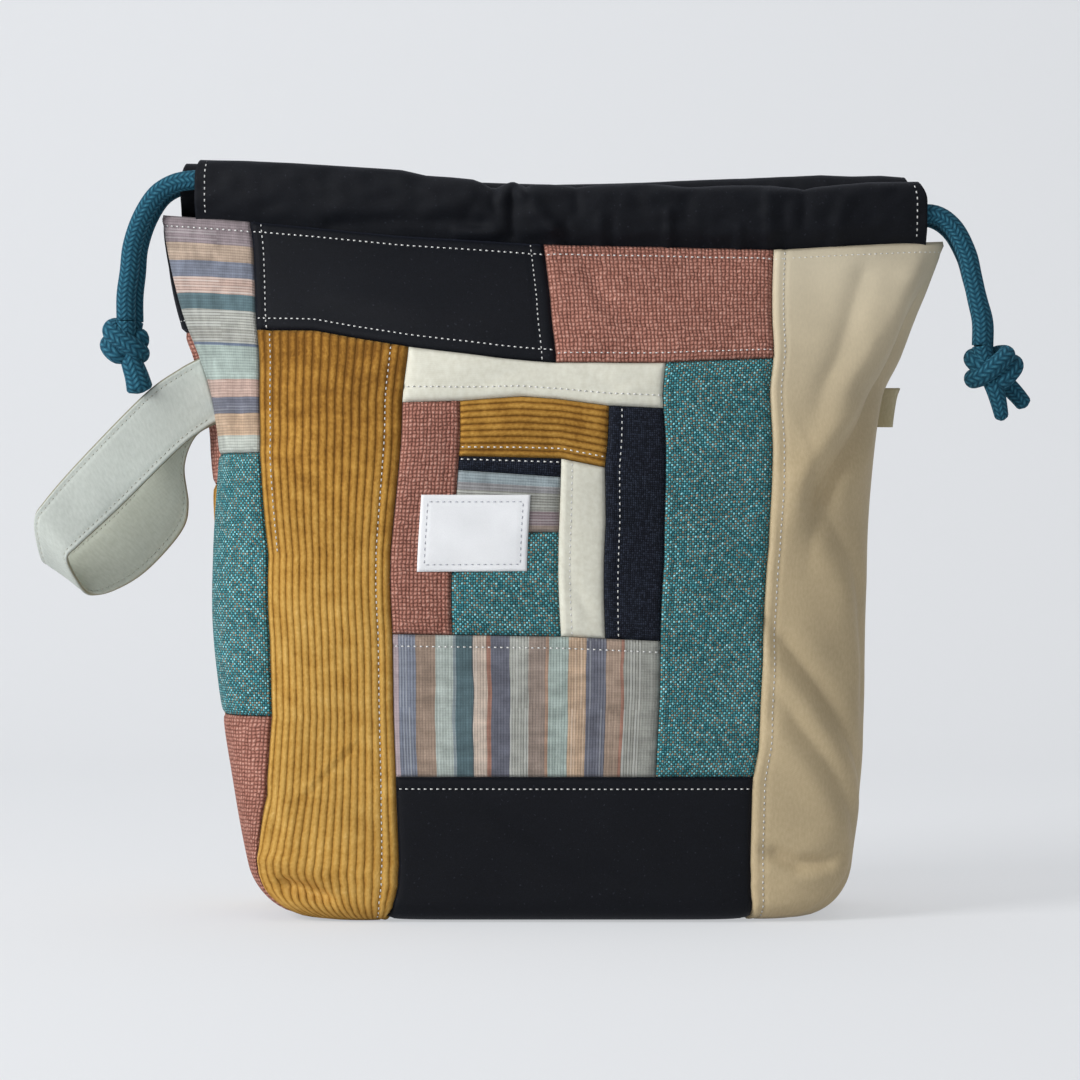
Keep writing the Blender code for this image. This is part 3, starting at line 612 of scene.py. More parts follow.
def on_wall(panel, u, z, lift):
    """Points on the outside of a panel, lifted off it by some millimetres."""
    place = read(shell_form, u, z)
    normal = read(shell_normals, u, z)
    normal /= np.linalg.norm(normal, axis=1)[:, None]
    out = (read(reliefs[panel], u, z)[:, 0] + lift) / 1000
    x = place[:, 0] + normal[:, 0] * out
    if panel == "back":
        roll, away = [np.interp(z, BACK_ROLL[:, 0], BACK_ROLL[:, k]) for k in (1, 2)]
        x = x - roll / 1000 * np.exp(-(((u - away) / (0.6 * away)) ** 2))
    y = np.minimum(place[:, 1] + normal[:, 1] * out, -0.0001)
    height = z / 1000 + CLOTH + normal[:, 2] * out
    return np.column_stack([x, y if panel == "front" else -y, np.maximum(height, 0.0002)])


def under_base(panel, u, w, lift):
    """Points on the underside: w is 0 at the base's edge and 1 on the seam under the middle."""
    edge = read(shell_form, u, np.zeros(len(u)))
    left, right, depth, square = section(0.0)
    s = (u - CORNER) / (PANEL - 2 * CORNER)
    x = edge[:, 0] + (-left + s * (left + right) - edge[:, 0]) * w
    y = edge[:, 1] * (1 - w) + (SEAM_SHIFT if panel == "front" else -SEAM_SHIFT) * w
    rim = (1 - np.clip(np.abs(y / (depth + CLOTH)), 0, 1) ** square) ** (1 / square)
    near_left = np.clip(1 - s / 0.12, 0, 1) ** 2
    near_right = np.clip(1 - (1 - s) / 0.12, 0, 1) ** 2
    x = x + near_left * (-(left + CLOTH) * rim - x) + near_right * ((right + CLOTH) * rim - x)
    x = x + 0.0008 * (near_left - near_right) * (w > 0)
    y = y - 0.0002 * w
    z = np.full(len(u), 0.0002) + np.maximum(-lift, 0) / 1000
    return np.column_stack([x, y if panel == "front" else -y, z])


# Seams of the front, in millimetres along and up the panel: an upright one gives its place
# along at each height, and a level one its height at each place along.
SEAMS = {
    "rim": RIM,
    "start": [(0, 0)],
    "end": [(0, PANEL)],
    "side": [(0, 50), (5, 46), (12, 43), (20, 42.5), (33, 46), (54, 53), (88, 59), (122, 60), (158, 59),
             (203, 50), (257, 47), (307, 43)],
    "corduroy": [(0, 89), (2, 97), (5, 102), (10, 106), (15, 108.5), (24, 110), (63, 112), (125, 114),
                 (160, 113), (224, 114.5), (249, 116)],
    "beige": [(0, 279.5), (2, 273.5), (5, 270), (10, 267), (15, 265.5), (24, 265), (60, 266.5), (74, 269.5),
              (112, 272), (162, 275.5), (244, 274.5), (294, 273)],
    "navy_top": [(242, 180), (271, 176.5), (296, 172)],
    "teal": [(63, 224.5), (97, 227.5), (131, 229), (156, 230.5), (222, 227.5), (242, 227.5)],
    "pink_inner": [(124, 139.5), (225, 139.5)],
    "cream_inner": [(123, 186), (173, 184.5), (199, 183.5)],
    "navy_inner": [(122, 205), (173, 204.5), (196, 202.5), (223, 204)],
    "top_block": [(47, 258), (74, 257), (115, 249), (155, 244), (180, 242), (228, 242), (274, 244)],
    "cream_top": [(114, 224.5), (139, 225), (166, 227), (182, 226), (204, 223), (228, 222)],
    "ribbed": [(139, 201), (183.5, 200), (203, 196)],
    "strip": [(140, 195), (183.5, 192)],
    "centre": [(114, 124), (187, 123), (229, 121)],
    "back_left": [(0, 95)],
    "back_right": [(0, 250)],
}


def seam(name):
    """A seam as a function of the other coordinate. A number stands for a straight one."""
    p = np.array(SEAMS.get(name, [(0, name)]), dtype=float)
    return lambda q: np.interp(q, p[:, 0], p[:, 1])


rim_line = seam("rim")


# How a patch is quilted, in millimetres: depth and width of the valley at a seam, how far in
# its pillow is full, depth and width of the dimples under stitches, and the ridge beside them.
VALLEY, VALLEY_WIDTH, PILLOW_REACH = 0.95, 0.9, 6.0
DIMPLE, DIMPLE_WIDTH, RIDGE = 0.55, 0.8, 0.34
SEAM_GAP = 0.08
HALFWAY = 150.0


class Patch:
    """A piece of the patchwork between four seams, given as left, right, bottom and top. Its
    rows of topstitching are edges with the distance from them in millimetres."""

    def __init__(self, name, panel, edges, puff, stitches):
        self.name, self.panel, self.goes_under = name, panel, edges[2] is None
        self.left, self.right, self.bottom, self.top = [seam(edge or 0) for edge in edges]
        self.puff, self.stitches = puff, stitches
        middle_u = np.array([(float(self.left(HALFWAY)) + float(self.right(HALFWAY))) / 2])
        middle_z = (self.bottom(middle_u) + self.top(middle_u)) / 2
        self.width = float((self.right(middle_z) - self.left(middle_z))[0])
        self.height = float((self.top(middle_u) - self.bottom(middle_u))[0])

    def place(self, s, t):
        """Panel coordinates of a share across and a share up the patch. The two depend on each
        other where seams lean, so they are found in a few rounds."""
        z = self.bottom(np.full(s.shape, HALFWAY))
        for _ in range(14):
            u = self.left(z) + SEAM_GAP + (self.right(z) - self.left(z) - 2 * SEAM_GAP) * s
            low = self.bottom(u)
            z = low + SEAM_GAP * (low > 0) + (self.top(u) - low - SEAM_GAP * (1 + (low > 0))) * t
        return u, z

    def lift(self, s, t):
        """Pillowing between the seams and the dimples under the stitches, in millimetres."""
        edges = {"left": s * self.width, "right": (1 - s) * self.width,
                 "top": (1 - t) * self.height, "bottom": t * self.height}
        near = np.min([d for edge, d in edges.items() if edge != "bottom" or not self.goes_under], axis=0)
        total = self.puff * (1 - np.exp(-near / PILLOW_REACH)) - VALLEY * np.exp(-near / VALLEY_WIDTH)
        for edge, inset in self.stitches.items():
            total -= DIMPLE * np.exp(-(((edges[edge] - inset) / DIMPLE_WIDTH) ** 2))
            total += RIDGE * np.exp(-(((edges[edge] - inset * 0.5) / (inset * 0.38)) ** 2))
        return total

    def points(self, s, t, extra=0.0):
        u, z = self.place(s, t)
        return on_wall(self.panel, u, z, self.lift(s, t) + extra)

    def build(self, material, spacing):
        """The patch as a sheet of cloth 0.7 mm thick. One that reaches the floor goes on
        round the base's edge to the seam under the middle."""
        across = max(6, int(math.ceil(self.width / spacing)))
        up = max(6, int(math.ceil(self.height / spacing)))
        under = 10 if self.goes_under else 0
        outside = []

        def form(s, t):
            s = 1 - s if self.panel == "back" else s
            row = np.rint(t * (up + under))
            share = np.clip((row - under) / up, 0, 1) ** (1.15 if under else 1)
            points = self.points(s, share)
            v = share * self.height
            below = np.flatnonzero(row < under)
            if len(below):
                w = ((under - row[below]) / under) ** 0.8
                u = self.place(s[below], np.zeros(len(below)))[0]
                lift = self.lift(s[below], np.full(len(below), 0.3))
                points[below] = under_base(self.panel, u, w, lift)
                v[below] = -w * CORNER
                outside.extend(below[(u < CORNER - 0.3) | (u > PANEL - CORNER + 0.3)])
            return points, np.column_stack([s * self.width, v]) / 1000

        piece = shaped_grid(self.name, across, up + under, form, material)
        if outside:
            pick(piece, "VERT", outside)
            bpy.ops.mesh.delete(type="VERT")
            bpy.ops.object.mode_set(mode="OBJECT")
        thicken(piece, PATCH_CLOTH)
        return piece


def pick(piece, kind, chosen):
    """Opens the piece in edit mode with only the chosen vertices or faces selected."""
    bpy.ops.object.mode_set(mode="EDIT")
    bpy.ops.mesh.select_mode(type=kind)
    bpy.ops.mesh.select_all(action="DESELECT")
    bpy.ops.object.mode_set(mode="OBJECT")
    elements = piece.data.vertices if kind == "VERT" else piece.data.polygons
    for index in chosen:
        elements[int(index)].select = True
    bpy.ops.object.mode_set(mode="EDIT")


def thicken(piece, thickness, offset=-1.0):
    """Gives a sheet its thickness, inwards unless an offset says otherwise."""
    solid = piece.modifiers.new("cloth", "SOLIDIFY")
    solid.thickness = thickness
    solid.offset = offset
    bpy.ops.object.modifier_apply(modifier="cloth")


# Cloths of the patchwork, each cut from another remnant: smooth navy sateen and navy linen,
# wide-wale corduroy, basket-woven pink, teal tweed, cream flannel, beige satin, woven stripes.
def navy_sateen():
    """Close and smooth, with a little lint."""
    cloth = Cloth("navy_sateen", 0.66, 0.10, (110, 120, 150), 0.15)
    height, _, chance = cloth.weave(0.00045)
    lint = cloth.limit(cloth.noise(0.0016, 4.0), 0.70, 0.76)
    tone = cloth.tones(height + chance * 0.3, 0.1, 1.3, (0.0, 6, 8, 12), (0.6, 13, 15, 21), (1.0, 23, 26, 34))
    return cloth.finish(cloth.mix(lint * 0.2, tone, colour(80, 84, 96)), height, 0.00014, 0.5)


def navy_linen():
    """A coarser navy, with slubs along both threads."""
    cloth = Cloth("navy_linen", 0.85, 0.08, (110, 125, 150), 0.15)
    height, _, chance = cloth.weave(0.00095, 0.16)
    tone = cloth.tones(height * 0.7 + chance * 0.5, 0.1, 1.2, (0.0, 9, 11, 17), (0.5, 22, 26, 36),
                       (1.0, 50, 56, 70))
    return cloth.finish(tone, height, 0.0004, 0.8)


def corduroy(name, lengthways):
    """Rounded wales 3 mm apart with a rubbed pile, thin and brown in the valleys."""
    cloth = Cloth(name, 0.95, 0.30, (230, 180, 95), 0.15)
    across, along = (cloth.u, cloth.v) if lengthways else (cloth.v, cloth.u)
    sway = (cloth.noise(0.03, 2.0) - 0.5) * 0.0006
    rib = ((across + sway) / 0.0030).wave() ** 0.7
    pile = cloth.noise(0.0007, 3.0, across, along * 0.45)
    tufts = cloth.noise(0.0016, 3.0, across, along)
    rubbed = cloth.noise(0.010, 4.0, across, along * 1.3)
    # Darker towards the top of a lengthways patch, and darker all over where the wales run across.
    tone_shift = cloth.limit(cloth.v, 0.13, 0.25, 0.05, -0.44) if lengthways else -0.24
    value = rib * 0.50 + pile * 0.32 + (tufts - 0.5) * 0.34 + (rubbed - 0.5) * 0.50 + tone_shift + 0.06
    tone = cloth.tones(value, 0.05, 1.05, (0.0, 112, 74, 26), (0.25, 152, 108, 44), (0.5, 184, 138, 64),
                       (0.8, 208, 166, 90), (1.0, 226, 188, 118))
    return cloth.finish(tone, rib + pile * 0.26 + tufts * 0.2, 0.0008, 0.8)


def pink_basket():
    """Chunky basket weave of thick and thin yarn."""
    cloth = Cloth("pink_basket", 0.92, 0.15, (225, 170, 155), 0.2)
    height, _, chance = cloth.weave(0.0017, 0.13, 0.75)
    slub = cloth.noise(0.0011, 4.0)
    tone = cloth.tones(height * 0.56 + chance * 0.22 + slub * 0.42, 0.18, 1.1, (0.0, 88, 52, 42),
                       (0.35, 148, 97, 83), (0.65, 183, 127, 112), (1.0, 218, 174, 158))
    return cloth.finish(tone, height + slub * 0.35, 0.0008, 0.9)


def teal_tweed():
    """Teal knots on a dark ground with brown flecks."""
    cloth = Cloth("teal_tweed", 0.9, 0.12, (110, 180, 190), 0.2)
    height, warp, chance = cloth.weave(0.00105, 0.12, 0.7)
    fleck = cloth.noise(0.0014, 3.0)
    bright = cloth.tones(chance * 0.6 + height * 0.4 + (fleck - 0.5) * 0.5, 0.1, 1.0, (0.0, 34, 96, 106),
                         (0.4, 62, 138, 148), (0.75, 98, 178, 188), (1.0, 156, 224, 234))
    dull = cloth.tones(chance * 0.65 + height * 0.4 + (fleck - 0.5) * 0.4, 0.1, 1.0, (0.0, 26, 62, 66),
                       (0.5, 78, 104, 100), (0.82, 122, 110, 92), (1.0, 156, 142, 122))
    drift = cloth.limit(cloth.noise(0.010, 3.0), 0.35, 0.65, -0.22, 0.22)
    share = cloth.limit((1 - warp) * 0.8 + drift + (chance - 0.5) * 0.3, 0.3, 0.6)
    tone = cloth.darken(cloth.mix(share, bright, dull), cloth.limit(height, 0.08, 0.60, 0.16, 1.26))
    return cloth.finish(tone, height * 0.8 + warp * 0.3, 0.0007, 0.9)


def cream_flannel():
    """Brushed, so that the fuzz hides most of the weave."""
    cloth = Cloth("cream_flannel", 0.92, 0.15, (240, 236, 215), 0.25)
    height = cloth.weave(0.0006)[0]
    fuzz = cloth.noise(0.0024, 4.0)
    tone = cloth.shade(height * 0.25 + fuzz * 0.9, 0.2, 1.0, (208, 205, 188), (229, 228, 214))
    return cloth.finish(tone, height * 0.3 + fuzz * 0.5, 0.0002, 0.5)


def satin(name, dark, light):
    """Close twill with a soft gloss, and a painted sheen that makes it paler high up on the bag."""
    cloth = Cloth(name, 0.55, 0.10, light)
    slant = ((cloth.u + cloth.v * 0.7) / 0.0005).wave()
    grain = cloth.noise(0.0009, 3.0, cloth.u, cloth.v * 0.4)
    tone = cloth.shade(slant * 0.5 + grain * 0.6, 0.2, 1.0, dark, light)
    # Painted sheen: towards the rim the colour is mixed with pale cream, as where light catches the satin.
    tone = cloth.mix(cloth.limit(cloth.v, 0.20, 0.31, 0.0, 0.6), tone, colour(228, 222, 202))
    return cloth.finish(tone, slant * 0.5 + grain * 0.5, 0.00010, 0.45)


# Yarns of the striped cloths.
YARNS = {"lilac": (170, 152, 160), "mauve": (134, 119, 126), "plum": (112, 92, 100), "slate": (106, 115, 136),
         "indigo": (76, 81, 102), "denim": (86, 106, 134), "teal": (53, 95, 107), "ink": (28, 52, 66),
         "mist": (140, 156, 163), "mint": (176, 188, 182), "sea": (153, 170, 164), "chalk": (172, 178, 170),
         "stone": (151, 153, 146), "ash": (138, 139, 132), "pewter": (126, 126, 130),
         "umber": (147, 128, 117), "tan": (162, 136, 117), "buff": (178, 154, 134), "sand": (185, 154, 125),
         "peach": (176, 138, 114), "blush": (177, 147, 135), "shell": (196, 176, 160), "rust": (156, 103, 83)}


def striped(name, bands, span, upright):
    """Loosely woven stripes over a span in metres. A band has the millimetre where it starts,
    its yarn, and how strongly its single threads show white and dark."""
    cloth = Cloth(name, 0.9, 0.08, specular=0.2)
    across, along = (cloth.u, cloth.v) if upright else (cloth.v, cloth.u)
    share = across / span + (cloth.noise(0.03, 2.0) - 0.5) * 0.014
    starts = [band[0] / 1000 / span for band in bands]
    yarns = cloth.ramp(share, [(start, colour(*YARNS[band[1]])) for start, band in zip(starts, bands)],
                       "CONSTANT")
    ribs = cloth.ramp(share, [(start, (band[2],) * 3 + (1,)) for start, band in zip(starts, bands)],
                      "CONSTANT")
    height, _, chance = cloth.weave(0.0006)
    thread = (across / 0.00125).wave()
    cross = (along / 0.0011).wave()
    single = cloth.chance((across / 0.00125).op("FLOOR"), (along / 0.03).op("FLOOR"))
    haze = cloth.limit(cloth.noise(0.005, 3.0, across * 0.5, along), 0.3, 0.7, 0.80, 1.14)
    light = (thread * (ribs * 0.75 + 0.18) + height * 0.22 + cross * 0.20 + (single - 0.5) * 0.30
             + chance * 0.10)
    tone = cloth.darken(cloth.mix(0.22, yarns, colour(160, 157, 150)),
                        cloth.limit(light, 0.0, 1.1, 0.68, 1.46) * haze)
    pale = cloth.limit(thread * ribs * (single * 0.6 + 0.5), 0.45, 1.0, 0.0, 0.45)
    tone = cloth.mix(pale, tone, colour(214, 216, 212))
    return cloth.finish(tone, height + thread * ribs, 0.0003, 0.7)


# Upright stripes of the block under the label, from its left edge.
BLOCK = [(0, "lilac", 0.3), (2.2, "slate", 0.8), (9.0, "tan", 0.3), (13.8, "tan", 0.3), (17.6, "mint", 0.5),
         (25.4, "mist", 0.2), (26.7, "teal", 0.3), (33.6, "ink", 0.1), (34.0, "shell", 0.7),
         (40.0, "rust", 0.2), (41.8, "indigo", 0.5), (49.9, "stone", 1.0), (58.1, "umber", 0.4),
         (65.0, "peach", 0.3), (66.3, "sea", 0.6), (74.9, "sand", 0.7), (82.6, "indigo", 0.7),
         (90.8, "tan", 0.4), (97.3, "rust", 0.3), (98.6, "ash", 1.0), (106.3, "stone", 0.3)]

# Level stripes of the left side, from its lower edge up.
SIDE = [(0, "chalk", 0.6), (7.5, "sand", 0.5), (17.3, "indigo", 0.6), (24.8, "blush", 0.6),
        (32.8, "sea", 0.5), (47.8, "denim", 0.2), (49.2, "ash", 0.9), (55.4, "stone", 1.0),
        (63.8, "teal", 0.3), (70.9, "blush", 1.0), (78.0, "slate", 0.4), (85.5, "buff", 0.5),
        (93.5, "mauve", 0.7), (99.2, "mauve", 0.5)]

# Level stripes of the small inner piece, from its lower edge up.
INNER = [(0, "umber", 0.4), (3.1, "plum", 0.9), (9.4, "ash", 0.9), (17.7, "pewter", 0.6),
         (20.8, "mist", 0.6)]

# Each cloth with the finish slot of its material.
cloths = {
    "navy": (navy_sateen(), "navy"),
    "linen": (navy_linen(), "navy"),
    "corduroy": (corduroy("mustard_corduroy", True), "mustard"),
    "cross_corduroy": (corduroy("mustard_corduroy_across", False), "mustard"),
    "pink": (pink_basket(), "pink"),
    "teal": (teal_tweed(), "teal"),
    "cream": (cream_flannel(), "cream"),
    "beige": (satin("beige_satin", (178, 158, 122), (206, 187, 151)), "beige"),
    "block": (striped("block_stripes", BLOCK, 0.1145, True), "striped"),
    "side": (striped("side_stripes", SIDE, 0.1050, False), "striped"),
    "inner": (striped("inner_stripes", INNER, 0.0260, False), "striped"),
}

# Patches: node, left, right, bottom and top seam, cloth, pillowing in millimetres and rows of
# stitches. A bottom of None means that the cloth goes round the base's edge to the seam under it.
FRONT = [
    ("striped_side", "start", "side", 203, "rim", "side", 0.5, {"top": 4.6}),
    ("teal_side", "start", "side", 88, 203, "teal", 0.6, {}),
    ("pink_side", "start", "side", 0, 88, "pink", 0.6, {}),
    ("navy_top", "side", "navy_top", "top_block", "rim", "navy", 0.6,
     {"top": 4.6, "bottom": 5.2, "left": 4.8, "right": 5.8}),
    ("pink_top", "navy_top", "beige", "top_block", "rim", "pink", 0.7, {"top": 4.6, "bottom": 4.0}),
    ("corduroy_side", "side", "corduroy", None, "top_block", "corduroy", 1.0, {"right": 6.0, "left": 4.8}),
    ("cream_top", "corduroy", "teal", "cream_top", "top_block", "cream", 0.7, {"bottom": 4.4}),
    ("pink_inner", "corduroy", "pink_inner", "centre", "cream_top", "pink", 0.7, {"right": 4.4}),
    ("corduroy_inner", "pink_inner", "navy_inner", "ribbed", "cream_top", "cross_corduroy", 0.7,
     {"bottom": 4.4}),
    ("navy_strip", "pink_inner", "cream_inner", "strip", "ribbed", "linen", 0.3, {"top": 1.3}),
    ("striped_inner", "pink_inner", "cream_inner", 168, "strip", "inner", 0.5, {}),
    ("teal_inner", "pink_inner", "cream_inner", "centre", 168, "teal", 0.6, {}),
    ("cream_inner", "cream_inner", "navy_inner", "centre", "ribbed", "cream", 0.6, {"left": 5.0}),
    ("navy_inner", "navy_inner", "teal", "centre", "cream_top", "linen", 0.6, {"left": 6.0}),
    ("striped_bottom", "corduroy", "teal", 62, "centre", "block", 0.6, {"top": 5.0}),
    ("teal_right", "teal", "beige", 62, "top_block", "teal", 0.8, {"left": 3.6}),
    ("navy_bottom", "corduroy", "beige", None, 62, "navy", 0.6, {"top": 5.0}),
    ("beige_side", "beige", "end", None, "rim", "beige", 0.6, {"left": 4.8, "top": 4.6}),
]
BACK = [
    ("navy_top", "start", "back_left", 258, "rim", "navy", 0.6, {"top": 4.6, "bottom": 5.0}),
    ("pink_side", "start", "back_left", 190, 258, "pink", 0.6, {}),
    ("corduroy_side", "start", "back_left", None, 190, "corduroy", 0.9, {"right": 5.5}),
    ("teal_top", "back_left", "back_right", 215, "rim", "teal", 0.8, {"top": 4.6}),
    ("cream_band", "back_left", "back_right", 150, 215, "cream", 0.7, {"bottom": 4.4}),
    ("striped_bottom", "back_left", "back_right", None, 150, "block", 0.6, {"top": 5.0}),
    ("beige_side", "back_right", "end", 110, "rim", "beige", 0.6, {"left": 4.8, "top": 4.6}),
    ("corduroy_corner", "back_right", "end", None, 110, "corduroy", 0.9, {"left": 5.0}),
]
LEAST_FLAT = 10.0

patches = []
for panel, pieces, spacing in (("front", FRONT, 1.6), ("back", BACK, 2.2)):
    for node, left, right, bottom, top, cloth, puff, stitches in pieces:
        node = panel + "_" + node
        patch = Patch(node + "_cloth", panel, (left, right, bottom, top), puff, stitches)
        material, slot = cloths[cloth]
        piece = dress(patch.build(material, spacing), "bag", slot, node)
        height = patch.height + (CORNER if patch.goes_under else 0)
        max(height, LEAST_FLAT) / 1000
        patch.width * height / 1e6
        patches.append(patch)


# Topstitching: white thread in stitches 2 mm long along the seams, pressed into the cloth, and
# thread in the cloth's own colour where the seam shows only a ridge. One stitch is modelled, a
# short twisted thread that dips into the cloth at both ends, and then copied along the rows.
THREAD = 0.00028
STITCH, PITCH = 1.95, 2.65

bpy.ops.object.select_all(action="DESELECT")
bpy.ops.mesh.primitive_cylinder_add(vertices=6, radius=1.0, depth=0.6)
one_stitch = bpy.context.object
pick(one_stitch, "FACE", [face.index for face in one_stitch.data.polygons if abs(face.normal.z) > 0.9])
bpy.ops.mesh.extrude_region_shrink_fatten(TRANSFORM_OT_shrink_fatten={"value": -0.2})
bpy.ops.transform.resize(value=(0.4, 0.4, 1.0))
bpy.ops.mesh.select_all(action="SELECT")
bpy.ops.mesh.normals_make_consistent(inside=False)
bpy.ops.mesh.faces_shade_smooth()
bpy.ops.object.mode_set(mode="OBJECT")
one_stitch.data.uv_layers[0].name = "cloth"


def twisted_thread(name, tone):
    cloth = Cloth(name, 0.65)
    twist = ((cloth.u + cloth.v) * 4).wave()
    shade = cloth.mix(twist, tuple(c * 0.8 for c in tone[:3]) + (1.0,), tone)
    return cloth.finish(shade, twist, 0.00005)


def stitch_ends(path):
    """Start and end points of the stitches along a finely sampled path in metres."""
    along = lengths_along(path) * 1000
    count = int(along[-1] // PITCH)
    pairs = []
    for k in range(count):
        low = (k + 0.5) * along[-1] / count - STITCH / 2
        pairs.append([np.array([np.interp(end, along, path[:, c]) for c in range(3)])
                      for end in (low, low + STITCH)])
    return pairs


def sew(name, rows, thread, slot, radius=THREAD):
    """Copies of the stitch along rows, as one piece that rides on the bag."""
    copies = []
    for a, b in [pair for row in rows for pair in row]:
        axis = b - a
        side = np.cross(axis, (0.0, 0.0, 1.0))
        if np.linalg.norm(side) < 0.2 * np.linalg.norm(axis):
            side = np.cross(axis, (0.0, 1.0, 0.0))
        side /= np.linalg.norm(side)
        other = np.cross(axis, side)
        other /= np.linalg.norm(other)
        place = np.eye(4)
        place[:3] = np.column_stack([side * radius, other * radius, axis, (a + b) / 2])
        mesh = one_stitch.data.copy()
        mesh.transform(mathutils.Matrix(place.tolist()))
        copies.append(bpy.data.objects.new(name, mesh))
        bpy.context.scene.collection.objects.link(copies[-1])
    bpy.ops.object.select_all(action="DESELECT")
    for copy in copies:
        copy.select_set(True)
    bpy.context.view_layer.objects.active = copies[0]
    bpy.ops.object.join()
    stitches = bpy.context.object
    stitches.data.materials.append(thread)
    return dress(stitches, "bag", slot)


THREAD_LIFT = 0.24
CORDUROY_SEWN_FROM = 0.62


def patch_row(patch, edge, inset):
    """The path of one row of stitches on a patch."""
    q = np.linspace(0.004, 0.996, 240)
    upright = edge in ("left", "right")
    share = inset / (patch.width if upright else patch.height)
    away = np.full(q.shape, share if edge in ("left", "bottom") else 1 - share)
    return patch.points(away, q, THREAD_LIFT) if upright else patch.points(q, away, THREAD_LIFT)


white_thread = twisted_thread("white_thread", colour(240, 240, 237))
own_threads = {"front_pink_inner_cloth": (twisted_thread("pink_thread", colour(140, 82, 70)), "pink"),
               "front_teal_right_cloth": (twisted_thread("teal_thread", colour(62, 108, 112)), "teal")}
white_rows = {"front": [], "back": []}
for patch in patches:
    for edge, inset in patch.stitches.items():
        path = patch_row(patch, edge, inset)
        if patch.name == "front_corduroy_side_cloth" and edge == "left":
            path = path[int(len(path) * CORDUROY_SEWN_FROM):]
        if patch.name in own_threads and edge in ("left", "right"):
            thread, slot = own_threads[patch.name]
            sew(patch.name + "_stitches", [stitch_ends(path)], thread, slot, THREAD * 0.9)
        else:
            white_rows[patch.panel].append(stitch_ends(path))
for panel, rows in white_rows.items():
    sew(panel + "_topstitching", rows, white_thread, "label")


# Label: a small woven rectangle, left bare, sewn round its edge across three patches.
LABEL = np.array([(124.6, 184.4), (171.4, 184.4), (171.8, 151.4), (124.8, 151.0)])
LABEL_WIDTH, LABEL_HEIGHT = 0.047, 0.033
LABEL_CLOTH, LABEL_INSET = 0.0004, 3.0


def plain_weave(name, roughness, sheen, pitch, high, dark, light, depth, strength):
    """Fine even weave between two sRGB colours."""
    cloth = Cloth(name, roughness, sheen, specular=0.2)
    height, _, chance = cloth.weave(pitch)
    tone = cloth.shade(height + chance * 0.3, 0.1, high, dark, light)
    return cloth.finish(tone, height, depth, strength)


label_weave = plain_weave("label_weave", 0.6, 0.05, 0.00034, 1.2, (230, 231, 233), (244, 245, 246),
                          0.00008, 0.4)


def on_label(s, t, extra):
    """Points of the label, which lies smoothly over the seams below it."""
    s, t = np.broadcast_arrays(s, t)
    low = LABEL[3] + (LABEL[2] - LABEL[3]) * s[:, None]
    high = LABEL[0] + (LABEL[1] - LABEL[0]) * s[:, None]
    place = low + (high - low) * t[:, None]
    edge = 1000 * np.minimum(np.minimum(s, 1 - s) * LABEL_WIDTH, np.minimum(t, 1 - t) * LABEL_HEIGHT)
    lift = 1.25 - 0.35 * np.exp(-edge) - 0.20 * np.exp(-(((edge - LABEL_INSET) / 0.7) ** 2)) + extra
    lift = lift + 0.16 * np.sin(s * 9.0 + t * 3.0) * np.sin(t * 7.0)
    return on_wall("front", place[:, 0], place[:, 1], lift)


label = shaped_grid("label_cloth", 47, 33, lambda s, t: (
    on_label(s, t, 0.0), np.column_stack([s * LABEL_WIDTH, t * LABEL_HEIGHT])), label_weave)
thicken(label, LABEL_CLOTH)
dress(label, "bag", "label", "label")
q = np.linspace(0, 1, 80)
in_x, in_z = LABEL_INSET / 1000 / LABEL_WIDTH, LABEL_INSET / 1000 / LABEL_HEIGHT
label_rows = [on_label(in_x + q * (1 - 2 * in_x), np.array([z]), 0.12) for z in (in_z, 1 - in_z)]
label_rows += [on_label(np.array([x]), in_z + q * (1 - 2 * in_z), 0.12) for x in (in_x, 1 - in_x)]
sew("label_stitches", [stitch_ends(row) for row in label_rows],
    twisted_thread("grey_thread", colour(186, 189, 198)), "label", 0.00018)


# Casings: a strip of navy sateen folded over on each side of the mouth and sewn into the rim,
# with hemmed ends. The cords gather it, most of all left of the middle, and the back one stands
# higher towards the right.
CASING_CLOTH = 0.0007
SKIRT = 0.005
CASING_RISE = 26.7
HEM, HEM_LIFT = 0.0045, 0.9
CASING_ALONG, CASING_ROUND = 250, 44
BACK_TOP = [(-170, 335.6), (-150, 335.2), (-125, 333.8), (-100, 331.9), (-70, 329.9), (-40, 328.6),
            (0, 327.6), (30, 328.2), (66, 329.6), (94, 330.4), (120, 331.2), (134, 330.4), (147, 330.4),
            (162, 328.9)]

